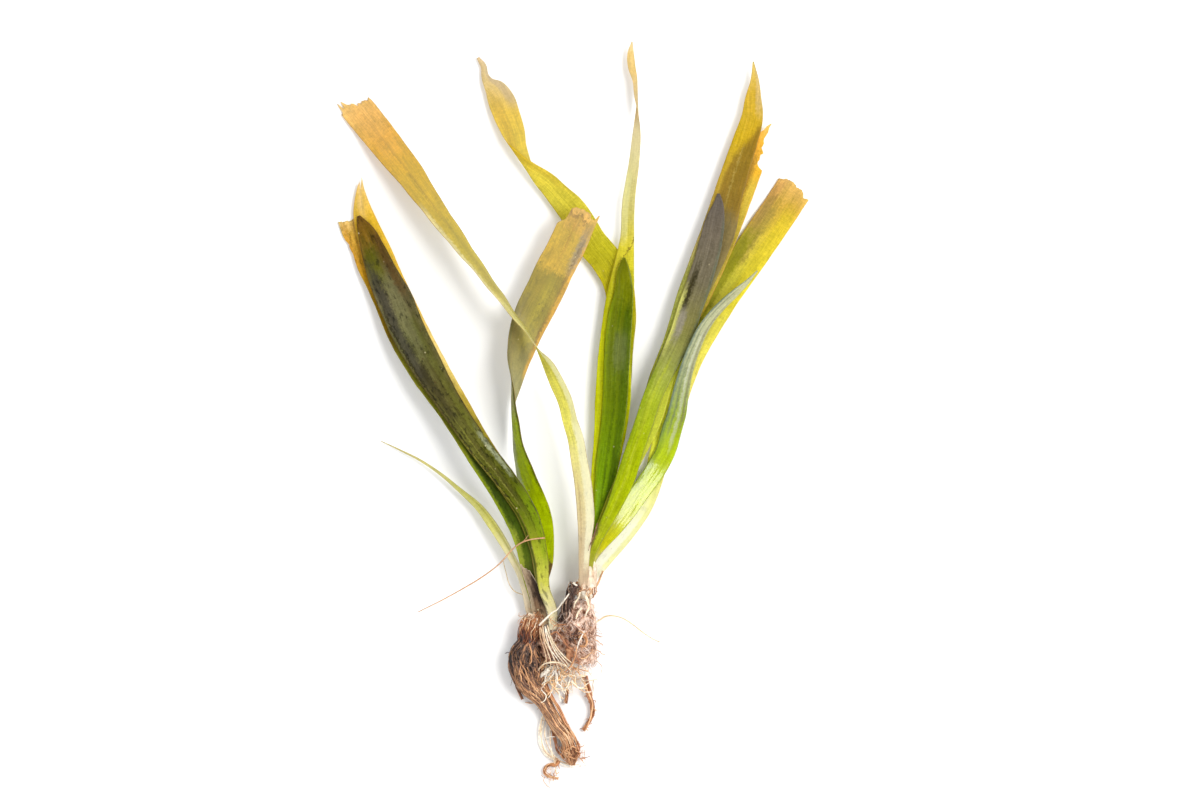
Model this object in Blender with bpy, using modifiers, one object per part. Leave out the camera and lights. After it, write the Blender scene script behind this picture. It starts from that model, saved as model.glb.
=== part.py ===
"""A vallisneria lying on a table: two rosettes of ribbon leaves on short crowns, with bare, tangled roots.

The plant lies in the XY plane with its leaf tips towards +Y and its root tail towards -Y.
Z is up and the table is z = 0. The origin is on the flat underside of the right root clump.
"""

import math

import bmesh
import bpy
import numpy as np
from mathutils import Vector

MM = 0.001
LEAF_THICKNESS = 0.45
LEAF_COLUMNS = 3
LEAF_ROW_SPACING = 6.0
NARROWEST_LEAF = 0.8
LAYER_PITCH = 0.8
RESTING_HEIGHT = 0.26
CUP_PER_SQUARE_MM = 0.010
RIDGE_HEIGHT = 0.07
END_BLUNTNESS = 5
# Where the part's origin lies in the stations below, whose own zero is between the two root clumps.
REST_POINT = Vector((4.2, -2.0, 0.0))

# Linear colour and roughness of what the plant is made of.
FINISHES = {
    "dark_leaf": ((0.060, 0.065, 0.012), 0.30),
    "green_leaf": ((0.150, 0.260, 0.008), 0.30),
    "yellow_leaf": ((0.500, 0.340, 0.025), 0.38),
    "pale_leaf": ((0.620, 0.580, 0.220), 0.38),
    "grey_leaf": ((0.160, 0.150, 0.095), 0.28),
    "crown": ((0.480, 0.330, 0.180), 0.55),
    "brown_root": ((0.170, 0.065, 0.025), 0.65),
    "sandy_root": ((0.420, 0.250, 0.150), 0.70),
    "cream_root": ((0.760, 0.600, 0.420), 0.50),
}

# How high the leaves arch over the table: pairs of y and height, in millimetres.
ARCHES = {
    "left_stack": [
        (8.4, 3.6), (14, 5.8), (22, 8.6), (30, 10.4), (40, 11.4), (50, 11.2), (60, 10.0), (72, 8.0),
        (84, 5.8), (96, 3.6), (108, 1.8), (118, 0.7), (125, RESTING_HEIGHT), (140, RESTING_HEIGHT),
    ],
    "left_folded": [
        (8.4, 2.6), (14, 3.9), (22, 5.6), (30, 6.6), (40, 7.0), (48, 7.0), (58, 7.0), (70, 7.0),
        (85, 7.4), (97, 8.0), (110, 9.0), (130, 10.0),
    ],
    "left_young": [(8.4, 3.3), (15, 4.6), (20, 5.4), (30, 5.4), (40, 4.2), (50, 2.4), (60, 0.7)],
    "right_golden": [
        (17, 8.3), (30, 9.2), (48, 11.0), (66, 12.6), (80, 13.2), (95, 13.2), (104, 12.4), (113, 11.0),
        (122, 9.3), (131, 7.2), (140, 4.9), (147, 3.1), (152, 1.9), (156, 1.0), (160, 0.4), (164, 0.3),
    ],
    "right_inner": [
        (17, 3.5), (36, 3.5), (60, 2.9), (100, 2.8), (112, 3.2), (125, 3.6), (150, 2.8), (180, 1.6),
    ],
    "right_curled": [
        (17, 3.5), (36, 3.5), (60, 2.9), (100, 2.7), (110, 2.3), (120, 1.9), (130, 2.0), (135, 2.7),
        (139, 3.8), (143, 4.6), (147, 4.6), (151, 4.2), (156, 3.6), (162, 3.1), (168, 2.8), (174, 2.0),
    ],
    "right_outer": [
        (17, 5.9), (36, 5.9), (50, 6.0), (70, 5.8), (90, 5.3), (110, 4.4), (130, 3.4), (150, 2.6), (174, 2.2),
    ],
    "right_wide": [
        (17, 1.9), (36, 1.9), (60, 2.2), (85, 2.4), (100, 2.1), (112, 1.5), (122, 0.9), (130, 0.45),
        (137, RESTING_HEIGHT),
    ],
    "right_silver": [(17, 2.7), (36, 2.7), (50, 3.6), (62, 4.8), (75, 6.3), (90, 7.0), (100, 6.4), (111, 5.6)],
}

# Each leaf hangs on an arch, some layers up. Its stations run from the base to the tip: x and y of its
# middle, its width, and its roll in degrees, where 90 stands on edge with the base's right side up.
# Set-back is how far a torn end falls short of the last station, from the base's left side to its right.
LEAVES = {
    "left_dark_leaf": {
        "finish": "dark_leaf", "arch": "left_stack", "layer": 2, "set_back": (0, 0),
        "stations": [
            (-2.4, 9.3, 3.2, 0), (-4.5, 15, 3.4, 0), (-5.4, 24, 4.0, 0), (-9, 37.5, 5.4, 0),
            (-16.5, 48.6, 6.3, 0), (-25.2, 60, 6.9, 0), (-33, 72, 8.1, 0), (-40.8, 84, 10.2, 0),
            (-47.1, 94.5, 10.8, 0), (-50.4, 102, 10.8, 0), (-52.8, 108, 10.6, 0), (-55.5, 117, 8.1, 0),
            (-57.6, 121.5, 5.4, 0), (-59.4, 125.4, 2.8, 0), (-60.3, 126.9, 0.8, 0),
        ],
    },
    "left_pointed_leaf": {
        "finish": "yellow_leaf", "arch": "left_stack", "layer": 1, "set_back": (0, 0),
        "stations": [
            (-3.6, 9.3, 3.0, 0), (-5.4, 18, 3.6, 0), (-6.6, 27, 4.4, 0), (-10.2, 38, 5.4, 0),
            (-15.9, 48, 6.6, 0), (-23.4, 60, 7.2, 0), (-30.9, 70.8, 9.0, 0), (-37.2, 81, 10.2, 0),
            (-46.5, 99, 10.2, 0), (-50.7, 108, 10.2, 0), (-54.6, 117, 9.6, 0), (-57.6, 123.6, 7.8, 0),
            (-59.1, 128.4, 5.8, 0), (-59.7, 133.2, 3.4, 0), (-59.8, 136.2, 1.8, 0), (-59.8, 138.9, 0.8, 0),
        ],
    },
    "left_torn_leaf": {
        "finish": "yellow_leaf", "arch": "left_stack", "layer": 0, "set_back": (0, 0.6, 1.5, 2.3),
        "stations": [
            (-6.2, 9.3, 3.6, 0), (-9, 16.5, 4.2, 0), (-12, 25.5, 4.8, 0), (-15.6, 34.5, 5.7, 0),
            (-20.4, 43.5, 6.9, 0), (-27, 54, 7.8, 0), (-34.5, 66, 8.4, 0), (-42, 78, 9.0, 0),
            (-49.5, 93, 9.3, 0), (-55.5, 106.5, 9.3, 0), (-59.4, 117, 9.3, 0), (-62.4, 127.2, 9.3, 0),
        ],
    },
    "left_folded_leaf": {
        "finish": "yellow_leaf", "arch": "left_folded", "layer": 0, "set_back": (2.1, 1.0, 0, 4.0, 7.8),
        "stations": [
            (-4.2, 9.3, 2.7, 0), (-3.9, 18, 3.2, 0), (-4.2, 24, 4.8, 0), (-4.8, 30, 6.2, 0),
            (-5.7, 36, 7.0, 0), (-7.5, 42, 7.2, 24), (-9.9, 48, 7.5, 44), (-11.7, 53.4, 7.8, 60),
            (-12.9, 58.5, 8.1, 70), (-13.5, 64.5, 8.6, 78), (-13.8, 72, 9.2, 92), (-13.2, 79.5, 9.6, 117),
            (-12.3, 85.5, 10.0, 138), (-10.5, 91.5, 10.4, 156), (-8.1, 97.5, 11.1, 172),
            (-5.1, 103.5, 11.4, 180), (-1.5, 111, 11.4, 180), (2.4, 118.5, 11.1, 180),
            (5.4, 125.4, 10.8, 180), (7.2, 129.3, 10.8, 180),
        ],
    },
    "left_young_leaf": {
        "finish": "pale_leaf", "arch": "left_young", "layer": 0, "set_back": (0, 0),
        "stations": [
            (-9.5, 9.3, 1.5, 0), (-10.8, 15, 1.7, 0), (-12.3, 20.1, 1.9, 0), (-14.4, 24.9, 2.3, 0),
            (-17.1, 29.7, 2.7, 0), (-20.4, 34.8, 3.0, 0), (-24, 39.6, 2.8, 0), (-30, 45, 2.0, 0),
            (-36, 50, 1.4, 0), (-42, 54, 1.0, 0), (-48, 57, 0.9, 0), (-53.7, 59.7, 0.8, 0),
        ],
    },
    "left_old_sheath": {
        "finish": "crown", "arch": "left_stack", "layer": 1, "set_back": (0.6, 0, 1.2),
        "stations": [(-7.8, 9.3, 3.9, 0), (-8.8, 13.5, 3.8, 0), (-10.2, 18, 3.0, 0), (-11.7, 23.4, 1.8, 0)],
    },
    "right_golden_leaf": {
        "finish": "yellow_leaf", "arch": "right_golden", "layer": 0, "set_back": (6.6, 5.2, 4.4, 3.9, 0),
        "stations": [
            (7.0, 17.6, 2.8, 0), (7.2, 24, 3.2, 0), (7.5, 30, 3.9, 0), (7.8, 36, 5.0, 5), (7.5, 42, 5.3, 15),
            (6.8, 48, 5.3, 28), (5.7, 54, 5.3, 35), (4.8, 60, 5.3, 38), (3.3, 66, 5.3, 44),
            (2.1, 71.4, 5.3, 52), (-0.3, 76.5, 5.3, 60), (-3, 82.2, 5.4, 74), (-6.6, 87.3, 5.5, 88),
            (-10.2, 93, 5.7, 96), (-13.8, 97.8, 5.9, 104), (-18.9, 104.4, 6.4, 114), (-25.5, 113.1, 7.1, 123),
            (-32.1, 122.1, 7.7, 134), (-38.7, 131.1, 8.4, 142), (-45, 139.8, 9.0, 159),
            (-51, 147.3, 9.5, 170), (-54.3, 151.5, 9.8, 176), (-61.2, 159.9, 9.9, 180), (-63.9, 163.2, 9.9, 180),
        ],
    },
    "right_long_leaf": {
        "finish": "yellow_leaf", "arch": "right_inner", "layer": 1, "set_back": (0, 0),
        "stations": [
            (7.8, 17.6, 2.5, 0), (8.3, 21, 2.6, 0), (9.9, 30, 3.0, 0), (11.7, 39, 4.3, 0), (12.9, 48, 7.2, 0),
            (14.7, 60, 9.3, 0), (15.9, 72, 10.8, 0), (16.2, 84, 9.9, 0), (17.1, 96, 8.7, 0),
            (18.3, 105, 7.8, 0), (19.5, 114, 5.8, 15), (20.1, 120, 5.0, 32), (20.7, 132, 4.6, 35),
            (21.6, 138.6, 4.4, 42), (22.5, 145.5, 4.2, 47), (23, 150.6, 4.0, 50), (23.1, 154.5, 3.7, 61),
            (23.4, 159, 3.4, 84), (23.1, 163.5, 3.1, 110), (22.5, 168, 2.9, 122), (21.6, 171.6, 2.6, 150),
            (21.2, 175.5, 2.1, 175), (21.6, 179.4, 0.8, 180),
        ],
    },
    "right_rounded_leaf": {
        "finish": "green_leaf", "arch": "right_inner", "layer": 2, "set_back": (0, 0),
        "stations": [
            (8.0, 17.6, 2.3, 0), (9.6, 27, 2.4, 0), (11.4, 34.5, 2.7, 0), (12.6, 42, 4.5, 0),
            (13.8, 51, 6.9, 0), (15, 60, 7.5, 0), (16.2, 69, 8.1, 0), (16.65, 78, 8.4, 0), (17.1, 87, 8.4, 0),
            (18, 96, 7.5, 0), (19.2, 105, 5.4, 0), (19.1, 111, 3.6, 0), (19.2, 114.6, 0.8, 0),
        ],
    },
    "right_curled_leaf": {
        "finish": "yellow_leaf", "arch": "right_curled", "layer": 0, "set_back": (0, 0),
        "stations": [
            (8.1, 17.6, 2.4, 0), (9.2, 27, 2.6, 0), (11.4, 36, 3.4, 0), (13.5, 48, 5.4, 0), (15.6, 60, 6.6, 0),
            (17.4, 72, 7.2, 0), (18, 87, 7.8, 0), (18.6, 99, 8.4, 0), (17.1, 108, 9.0, 0), (13.8, 114, 9.3, 0),
            (9.6, 119.1, 9.3, 0), (5.4, 124.5, 9.0, 0), (0.9, 130.5, 8.1, 5), (-3, 135, 7.9, 20),
            (-6.6, 139.2, 7.8, 50), (-9.3, 143.1, 7.8, 75), (-10.8, 145.8, 7.8, 115), (-12.6, 149.7, 7.9, 155),
            (-14.7, 154.5, 8.1, 175), (-17.1, 159.6, 7.5, 180), (-20.4, 164.4, 4.4, 185),
            (-22.4, 168, 2.6, 200), (-22.8, 171, 2.3, 215), (-24.3, 174, 0.8, 190),
        ],
    },
    "right_tall_leaf": {
        "finish": "green_leaf", "arch": "right_outer", "layer": 1, "set_back": (0, 0),
        "stations": [
            (8.1, 17.6, 2.3, 0), (9.6, 26.4, 2.6, 0), (12.3, 33, 3.6, 0), (16.5, 42, 5.1, 0),
            (22.2, 54, 6.5, 0), (26.1, 66, 7.2, 0), (30, 78, 7.5, 0), (35.1, 90, 7.8, 0), (39, 102, 8.7, 0),
            (44.1, 114, 9.9, 0), (47.55, 123, 10.2, 0), (50.7, 132, 9.9, 0), (53.7, 141, 9.0, 0),
            (56, 150, 8.1, 0), (57.6, 156.6, 6.6, 0), (57.9, 162, 5.1, 0), (58.35, 168, 2.5, 0),
            (57.9, 173.4, 0.8, 0),
        ],
    },
    "right_grey_tipped_leaf": {
        "finish": "grey_leaf", "arch": "right_outer", "layer": 2, "set_back": (0, 0),
        "stations": [
            (8.0, 17.6, 2.3, 0), (9.9, 27, 2.5, 0), (12.3, 32.4, 3.3, 0), (15.6, 39, 4.2, 0),
            (19.5, 48, 6.0, 0), (22.8, 57, 6.3, 0), (25.5, 64.5, 6.6, 0), (28.5, 73.5, 6.6, 0),
            (32.4, 82.5, 6.6, 0), (36.3, 91.5, 7.2, 0), (39.3, 100.5, 7.5, 0), (41.4, 106.5, 7.5, 0),
            (43.8, 114, 7.2, 0), (45.3, 120, 6.9, 0), (46.5, 126, 5.7, 0), (47.4, 130.5, 3.2, 0),
            (47.5, 133.8, 0.8, 0),
        ],
    },
    "right_orange_leaf": {
        "finish": "yellow_leaf", "arch": "right_outer", "layer": 0,
        "set_back": (13.8, 10.5, 7.0, 3.0, 0.3, 11.0),
        "stations": [
            (8.1, 17.6, 2.3, 0), (9.6, 26.4, 2.5, 0), (12.3, 33, 3.3, 0), (16.5, 42, 4.5, 0),
            (22.2, 54, 5.4, 0), (26.4, 66, 6.0, 0), (30.6, 78, 6.3, 0), (35.7, 90, 6.6, 0),
            (40.5, 102, 7.8, 0), (44.4, 111.6, 9.0, 0), (48, 120, 9.3, 0), (51.3, 129, 9.6, 0),
            (54, 136.5, 9.6, 0), (56.4, 142.5, 9.3, 0), (59.1, 150, 8.4, 0), (60.6, 155.6, 7.5, 0),
        ],
    },
    "right_wide_leaf": {
        "finish": "yellow_leaf", "arch": "right_wide", "layer": 0, "set_back": (1.2, 0, 0.6, 1.7, 1.8),
        "stations": [
            (8.6, 17.8, 3.4, 0), (14.1, 24.9, 4.2, 0), (18.6, 30, 4.2, 0), (22.5, 35.1, 4.2, 0),
            (25.8, 40.5, 4.3, 0), (27.9, 46.5, 4.8, 0), (29.1, 52.5, 6.0, 0), (31.2, 60, 6.6, 0),
            (33.9, 69, 6.6, 0), (36.6, 78, 7.2, 0), (39.9, 87, 8.4, 0), (44.4, 95.4, 9.0, 0),
            (48.6, 102.6, 9.6, 0), (53.1, 109.5, 10.2, 0), (57.6, 116.4, 10.8, 0), (62.4, 123.6, 11.1, 0),
            (66.6, 129.9, 11.1, 0), (71.1, 136.6, 11.1, 0),
        ],
    },
    "right_silver_leaf": {
        "finish": "grey_leaf", "arch": "right_silver", "layer": 0, "set_back": (0, 0),
        "stations": [
            (8.3, 17.7, 2.3, 0), (10.2, 25.2, 2.4, 0), (12.9, 29.1, 3.3, 0), (16.5, 33.6, 4.5, 0),
            (20.4, 39, 5.4, 0), (24.3, 45, 6.0, 0), (27.9, 50.4, 6.6, 0), (31.2, 56.4, 6.6, 0),
            (33.3, 62.4, 6.2, -6), (35.1, 68.4, 5.8, -16), (36, 73.5, 5.5, -26), (37.2, 78.6, 5.3, -35),
            (38.7, 84, 5.2, -41), (40.5, 88.5, 5.1, -45), (42.6, 93, 4.8, -46), (45.3, 96.9, 4.3, -46),
            (48.6, 100.5, 3.8, -45), (52.5, 104.1, 3.0, -42), (56.1, 107.4, 1.7, -40), (59.1, 110.7, 0.8, -40),
        ],
    },
}

# Crowns, clumps and cords of roots. Each station is x, y and z of the middle, half the width and half the
# height. Ridges are the strands that show round it, and they turn by twist radians along it.
CLUMPS = {
    "left_crown": {
        "finish": "crown", "rings": 8, "sides": 16, "ridges": 4, "twist": 0.6,
        "stations": [(-5.6, 8.4, 4.3, 4.2, 2.6), (-5.9, 6.3, 4.3, 4.8, 3.4), (-7.2, 3.1, 4.4, 4.3, 3.6)],
    },
    "right_crown": {
        "finish": "crown", "rings": 8, "sides": 16, "ridges": 4, "twist": 0.5,
        "stations": [(7.9, 17.3, 5.1, 3.4, 3.9), (7.2, 15.2, 5.1, 3.9, 4.2), (6.3, 12.9, 5.1, 4.1, 4.4)],
    },
    "left_root_clump": {
        "finish": "brown_root", "rings": 12, "sides": 24, "ridges": 8, "twist": 0.9,
        "stations": [
            (-8.2, 2.6, 4.5, 3.6, 4.6), (-9.15, -0.6, 4.6, 4.1, 5.0), (-10.2, -4.5, 4.5, 5.0, 5.2),
            (-9.9, -8.4, 4.2, 4.9, 4.9), (-9.15, -12, 3.6, 4.5, 4.2), (-7.5, -15.4, 2.8, 3.2, 3.2),
        ],
    },
    "right_root_clump": {
        "finish": "sandy_root", "rings": 14, "sides": 26, "ridges": 9, "twist": 0.5,
        "stations": [
            (5.7, 12.4, 4.9, 4.2, 4.4), (5.7, 9, 4.9, 5.0, 5.2), (5.5, 4.5, 4.9, 5.6, 5.5),
            (4.2, 0, 4.7, 6.9, 5.3), (3.9, -4.5, 4.3, 7.3, 4.9), (3.3, -8.4, 3.6, 6.9, 4.0),
            (2.7, -11.4, 2.6, 5.7, 2.9), (2.4, -13.8, 2.0, 4.2, 2.2),
        ],
    },
    "root_bundle": {
        "finish": "brown_root", "rings": 14, "sides": 14, "ridges": 4, "twist": 2.4,
        "stations": [
            (-4.4, -16.2, 2.4, 2.3, 2.3), (-3.0, -18.6, 2.3, 2.6, 2.3), (0.15, -24, 2.2, 2.9, 2.2),
            (2.6, -30, 2.1, 3.2, 2.0), (2.9, -33, 1.9, 3.0, 1.8), (4.0, -37.6, 1.4, 1.9, 1.3),
        ],
    },
    "root_curl": {
        "finish": "brown_root", "rings": 7, "sides": 10, "ridges": 3, "twist": 1.2,
        "stations": [(-2.2, -37.6, 1.3, 1.3, 1.2), (-2.7, -39.6, 1.3, 2.0, 1.3), (-2.5, -41.6, 1.2, 1.8, 1.2)],
    },
    "root_stub": {
        "finish": "sandy_root", "rings": 6, "sides": 8, "ridges": 2, "twist": 0.4,
        "stations": [(2.3, -14.4, 1.5, 1.0, 1.1), (2.0, -16.8, 1.3, 0.9, 1.0), (1.5, -18.9, 1.1, 0.7, 0.8)],
    },
}

# Each root thread is a round tube: its radius and the points that it passes through.
THREADS = {
    "left_stray_root": {
        "finish": "cream_root", "radius": 0.28, "joints": 18,
        "points": [
            (-4.5, 30.9, 12.6), (-8.4, 30.5, 13.2), (-10.5, 30, 13.1), (-12.6, 28.8, 12.2), (-18, 23.1, 8.6),
            (-24, 18.6, 5.6), (-30, 15, 3.4), (-36, 11.7, 1.6), (-42.6, 8.4, 0.4),
        ],
    },
    "left_fine_root": {
        "finish": "cream_root", "radius": 0.2, "joints": 9,
        "points": [(-11.2, 13.8, 3.4), (-13.5, 14.7, 3.0), (-15.3, 17.1, 2.6), (-16.2, 20.4, 2.4), (-17.1, 24, 2.4)],
    },
    "bridging_root": {
        "finish": "cream_root", "radius": 0.4, "joints": 9,
        "points": [(-5.4, 5.1, 8.4), (-2.4, 8.4, 8.6), (0, 10.2, 9.4), (1.5, 11.9, 10.2), (2.6, 13.3, 10.4)],
    },
    "right_stray_root": {
        "finish": "cream_root", "radius": 0.25, "joints": 12,
        "points": [
            (12.1, 6.3, 4.6), (13.5, 7.2, 4.4), (17.4, 7.2, 3.6), (21, 5.4, 2.6), (24, 3, 1.7), (27, 0.9, 0.9),
            (30, -0.6, 0.4),
        ],
    },
    "right_loop_root": {
        "finish": "brown_root", "radius": 0.8, "joints": 12,
        "points": [
            (8.1, -13.9, 2.2), (8.5, -15.6, 1.9), (9.6, -19.5, 1.4), (9.6, -22.5, 1.2), (8.4, -25.2, 1.0),
            (6.9, -27, 0.9),
        ],
    },
    "white_outer_root": {
        "finish": "cream_root", "radius": 0.35, "joints": 12,
        "points": [
            (-4.4, -22.4, 1.0), (-5.1, -25.2, 0.9), (-5.4, -28.5, 0.7), (-4.5, -32.4, 0.6), (-1.8, -35.2, 0.5),
            (1.0, -36.6, 0.4),
        ],
    },
    "white_inner_root": {
        "finish": "cream_root", "radius": 0.35, "joints": 8,
        "points": [(-2.4, -27.6, 1.6), (-2.6, -31.5, 1.7), (-2.3, -34.5, 1.9), (-1.9, -36.9, 1.6)],
    },
    "tail_root": {
        "finish": "cream_root", "radius": 0.25, "joints": 4,
        "points": [(-4.9, -41.9, 0.6), (-4.2, -43.2, 0.4), (-3, -44.4, 0.3)],
    },
}


def remove_everything():
    for thing in list(bpy.data.objects):
        bpy.data.objects.remove(thing)


def make_material(name):
    """A Principled material of one of the finishes."""
    colour, roughness = FINISHES[name]
    material = bpy.data.materials.new(name)
    material.use_nodes = True
    shader = material.node_tree.nodes["Principled BSDF"]
    shader.inputs["Base Color"].default_value = (*colour, 1.0)
    shader.inputs["Roughness"].default_value = roughness
    material.diffuse_color = (*colour, 1.0)
    return material


def read_curve(stations, share):
    """The stations' values at a share (0 to 1) of the length, on a smooth curve through every station."""
    values = np.array(stations, float)
    flat = values[:, :2]
    knots = np.concatenate([[0.0], np.cumsum(np.linalg.norm(np.diff(flat, axis=0), axis=1))])
    slopes = np.gradient(values, knots, axis=0)
    at = min(max(share, 0.0), 1.0) * knots[-1]
    left = int(min(max(np.searchsorted(knots, at, side="right") - 1, 0), len(knots) - 2))
    gap = knots[left + 1] - knots[left]
    t = (at - knots[left]) / gap
    return (
        values[left] * (2 * t**3 - 3 * t**2 + 1)
        + slopes[left] * gap * (t**3 - 2 * t**2 + t)
        + values[left + 1] * (3 * t**2 - 2 * t**3)
        + slopes[left + 1] * gap * (t**3 - t**2)
    )


def curve_length(stations):
    flat = np.array(stations, float)[:, :2]
    return float(np.linalg.norm(np.diff(flat, axis=0), axis=1).sum())


def arch_height(arch, y):
    """The height of an arch over y, with its corners rounded off."""
    places, heights = zip(*ARCHES[arch])
    rounding = (-3.0, -1.5, 0.0, 1.5, 3.0)
    return float(np.mean([np.interp(y + shift, places, heights) for shift in rounding]))


def leaf_point(leaf, share, across):
    """A point of a leaf at a share of its length, where across is -1 at its left edge and 1 at its right."""
    x, y, width, roll = read_curve(leaf["stations"], share)
    before = read_curve(leaf["stations"], share - 0.01)
    after = read_curve(leaf["stations"], share + 0.01)
    level = Vector((after[1] - before[1], before[0] - after[0], 0.0)).normalized()
    upward = Vector((0.0, 0.0, 1.0))
    angle = math.radians(roll)
    sideways = level * math.cos(angle) + upward * math.sin(angle)
    normal = upward * math.cos(angle) - level * math.sin(angle)
    distance = max(width, NARROWEST_LEAF) / 2 * across
    place = Vector((x, y, 0.0)) + sideways * distance + normal * CUP_PER_SQUARE_MM * distance**2
    place.z += arch_height(leaf["arch"], place.y) + leaf["layer"] * LAYER_PITCH
    return place


def make_leaf(name, leaf, materials, home):
    """A ribbon: a flat grid whose rows are bent along the leaf's middle line, thickened to both sides."""
    length = curve_length(leaf["stations"])
    shape = bmesh.new()
    rows = max(6, round(length / LEAF_ROW_SPACING))
    bmesh.ops.create_grid(shape, x_segments=rows, y_segments=LEAF_COLUMNS, size=1.0)
    across_stations = np.linspace(-1, 1, len(leaf["set_back"]))
    for vertex in shape.verts:
        across = -vertex.co.y
        short = float(np.interp(across, across_stations, leaf["set_back"]))
        share = (vertex.co.x + 1) / 2 * (1 - short / length)
        vertex.co = (leaf_point(leaf, share, across) - REST_POINT) * MM
    mesh = bpy.data.meshes.new(name)
    shape.to_mesh(mesh)
    shape.free()
    mesh.shade_smooth()
    thing = bpy.data.objects.new(name, mesh)
    home.objects.link(thing)
    thicken = thing.modifiers.new("Thickness", "SOLIDIFY")
    thicken.thickness = LEAF_THICKNESS * MM
    thicken.offset = 0.0
    mesh.materials.append(materials[leaf["finish"]])


def make_clump(name, clump, materials, home):
    """A crown, clump or cord of roots: a sphere drawn out along its stations and ridged with strands."""
    shape = bmesh.new()
    bmesh.ops.create_uvsphere(shape, u_segments=clump["sides"], v_segments=clump["rings"], radius=1.0)
    for vertex in shape.verts:
        share = math.acos(max(-1.0, min(1.0, vertex.co.z))) / math.pi
        x, y, z, half_width, half_height = read_curve(clump["stations"], share)
        before = read_curve(clump["stations"], share - 0.05)
        after = read_curve(clump["stations"], share + 0.05)
        forward = Vector(after[:3] - before[:3]).normalized()
        level = Vector((forward.y, -forward.x, 0.0)).normalized()
        upward = level.cross(forward)
        angle = math.atan2(vertex.co.y, vertex.co.x)
        closing = math.sqrt(max(0.0, 1 - abs(2 * share - 1) ** END_BLUNTNESS))
        strands = 1 + RIDGE_HEIGHT * math.cos(clump["ridges"] * (angle + clump["twist"] * share))
        place = Vector((x, y, z))
        place += level * math.cos(angle) * half_width * closing * strands
        place += upward * math.sin(angle) * half_height * closing * strands
        place.z = max(place.z, 0.0)
        vertex.co = (place - REST_POINT) * MM
    mesh = bpy.data.meshes.new(name)
    shape.to_mesh(mesh)
    shape.free()
    mesh.shade_smooth()
    thing = bpy.data.objects.new(name, mesh)
    home.objects.link(thing)
    mesh.materials.append(materials[clump["finish"]])


def make_thread(name, thread, materials, home):
    """A single root: a round tube on a smooth curve through its points."""
    curve = bpy.data.curves.new(name, "CURVE")
    curve.dimensions = "3D"
    curve.bevel_depth = thread["radius"] * MM
    curve.bevel_resolution = 1
    curve.use_fill_caps = True
    spline = curve.splines.new("POLY")
    spline.points.add(thread["joints"] - 1)
    for point, share in zip(spline.points, np.linspace(0, 1, thread["joints"])):
        place = Vector(read_curve(thread["points"], share)) - REST_POINT
        point.co = (*(place * MM), 1.0)
    spline.use_smooth = True
    thing = bpy.data.objects.new(name, curve)
    home.objects.link(thing)
    curve.materials.append(materials[thread["finish"]])


def main():
    remove_everything()
    home = bpy.data.collections.new("vallisneria")
    bpy.context.scene.collection.children.link(home)
    materials = {name: make_material(name) for name in FINISHES}
    for name, leaf in LEAVES.items():
        make_leaf(name, leaf, materials, home)
    for name, clump in CLUMPS.items():
        make_clump(name, clump, materials, home)
    for name, thread in THREADS.items():
        make_thread(name, thread, materials, home)


main()
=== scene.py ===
"""The looks of a vallisneria lying on a table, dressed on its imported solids.

Stations, arches and clumps are in millimetres from a zero between the two root clumps: x is to the right,
y towards the leaf tips and z up. REST_POINT is where the part's own origin lies in them.
"""

import bpy
import numpy as np
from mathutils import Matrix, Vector, noise


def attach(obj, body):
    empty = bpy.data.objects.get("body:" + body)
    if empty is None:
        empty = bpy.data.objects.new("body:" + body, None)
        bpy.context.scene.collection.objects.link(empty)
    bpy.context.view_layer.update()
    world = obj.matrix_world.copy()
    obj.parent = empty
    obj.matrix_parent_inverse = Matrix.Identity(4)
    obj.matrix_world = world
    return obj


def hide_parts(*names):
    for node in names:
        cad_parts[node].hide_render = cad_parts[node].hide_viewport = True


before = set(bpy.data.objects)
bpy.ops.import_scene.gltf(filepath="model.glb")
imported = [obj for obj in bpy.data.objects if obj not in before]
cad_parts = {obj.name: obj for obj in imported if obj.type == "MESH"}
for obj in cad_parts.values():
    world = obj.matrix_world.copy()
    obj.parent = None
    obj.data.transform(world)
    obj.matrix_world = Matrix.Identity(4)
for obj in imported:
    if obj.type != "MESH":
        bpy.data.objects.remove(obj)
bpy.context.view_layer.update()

MM = 0.001
REST_POINT = np.array([4.2, -2.0, 0.0])
UP = np.array([0.0, 0.0, 1.0])
FLOOR_GAP = 0.01

# Camera and light
VIEW_CENTRE = (12.0, 72.0)
FRAME_WIDTH = 0.360
LENS = 200.0
SENSOR = 36.0
KEY_SIZE = 0.55
KEY_DISTANCE = 1.2
KEY_ELEVATION = 56
KEY_AZIMUTH = 14
KEY_WATTS = 12.0
KEY_COLOUR = (1.0, 0.985, 0.96)
SKY_STRENGTH = 1.45
ZENITH_SHARE = 0.12
ZENITH_FADE = (0.72, 0.93)
FLOOR_WHITE = 0.90
TABLE_HALF = 3000.0
TABLE_LEVEL = -0.05

# Leaf blades
ROW_SPACING = 0.7
COLUMN_SPACING = 0.28
NARROWEST = 0.18
LAYER_PITCH = 0.8
RESTING_HEIGHT = 0.26
CURL = 5.0
LEAST_TURN = 0.01
LEAF_REACH = 0.01
HALF_THICKNESS = 0.12
EDGE_HALF_THICKNESS = 0.05
RIM_WIDTH = 0.4
MIDRIB_DEPTH = 0.05
MIDRIB_WIDTH = 0.35
VEIN_HEIGHT = 0.012
VEIN_SPACING = 1.7
TORN_DEPTH = 0.4

# Ranges that the ripples and the veins fade in over
RIPPLED_LENGTH = (8, 30)
RIPPLED_WIDTH = (2, 6)
VEINED_WIDTH = (3, 6)

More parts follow.
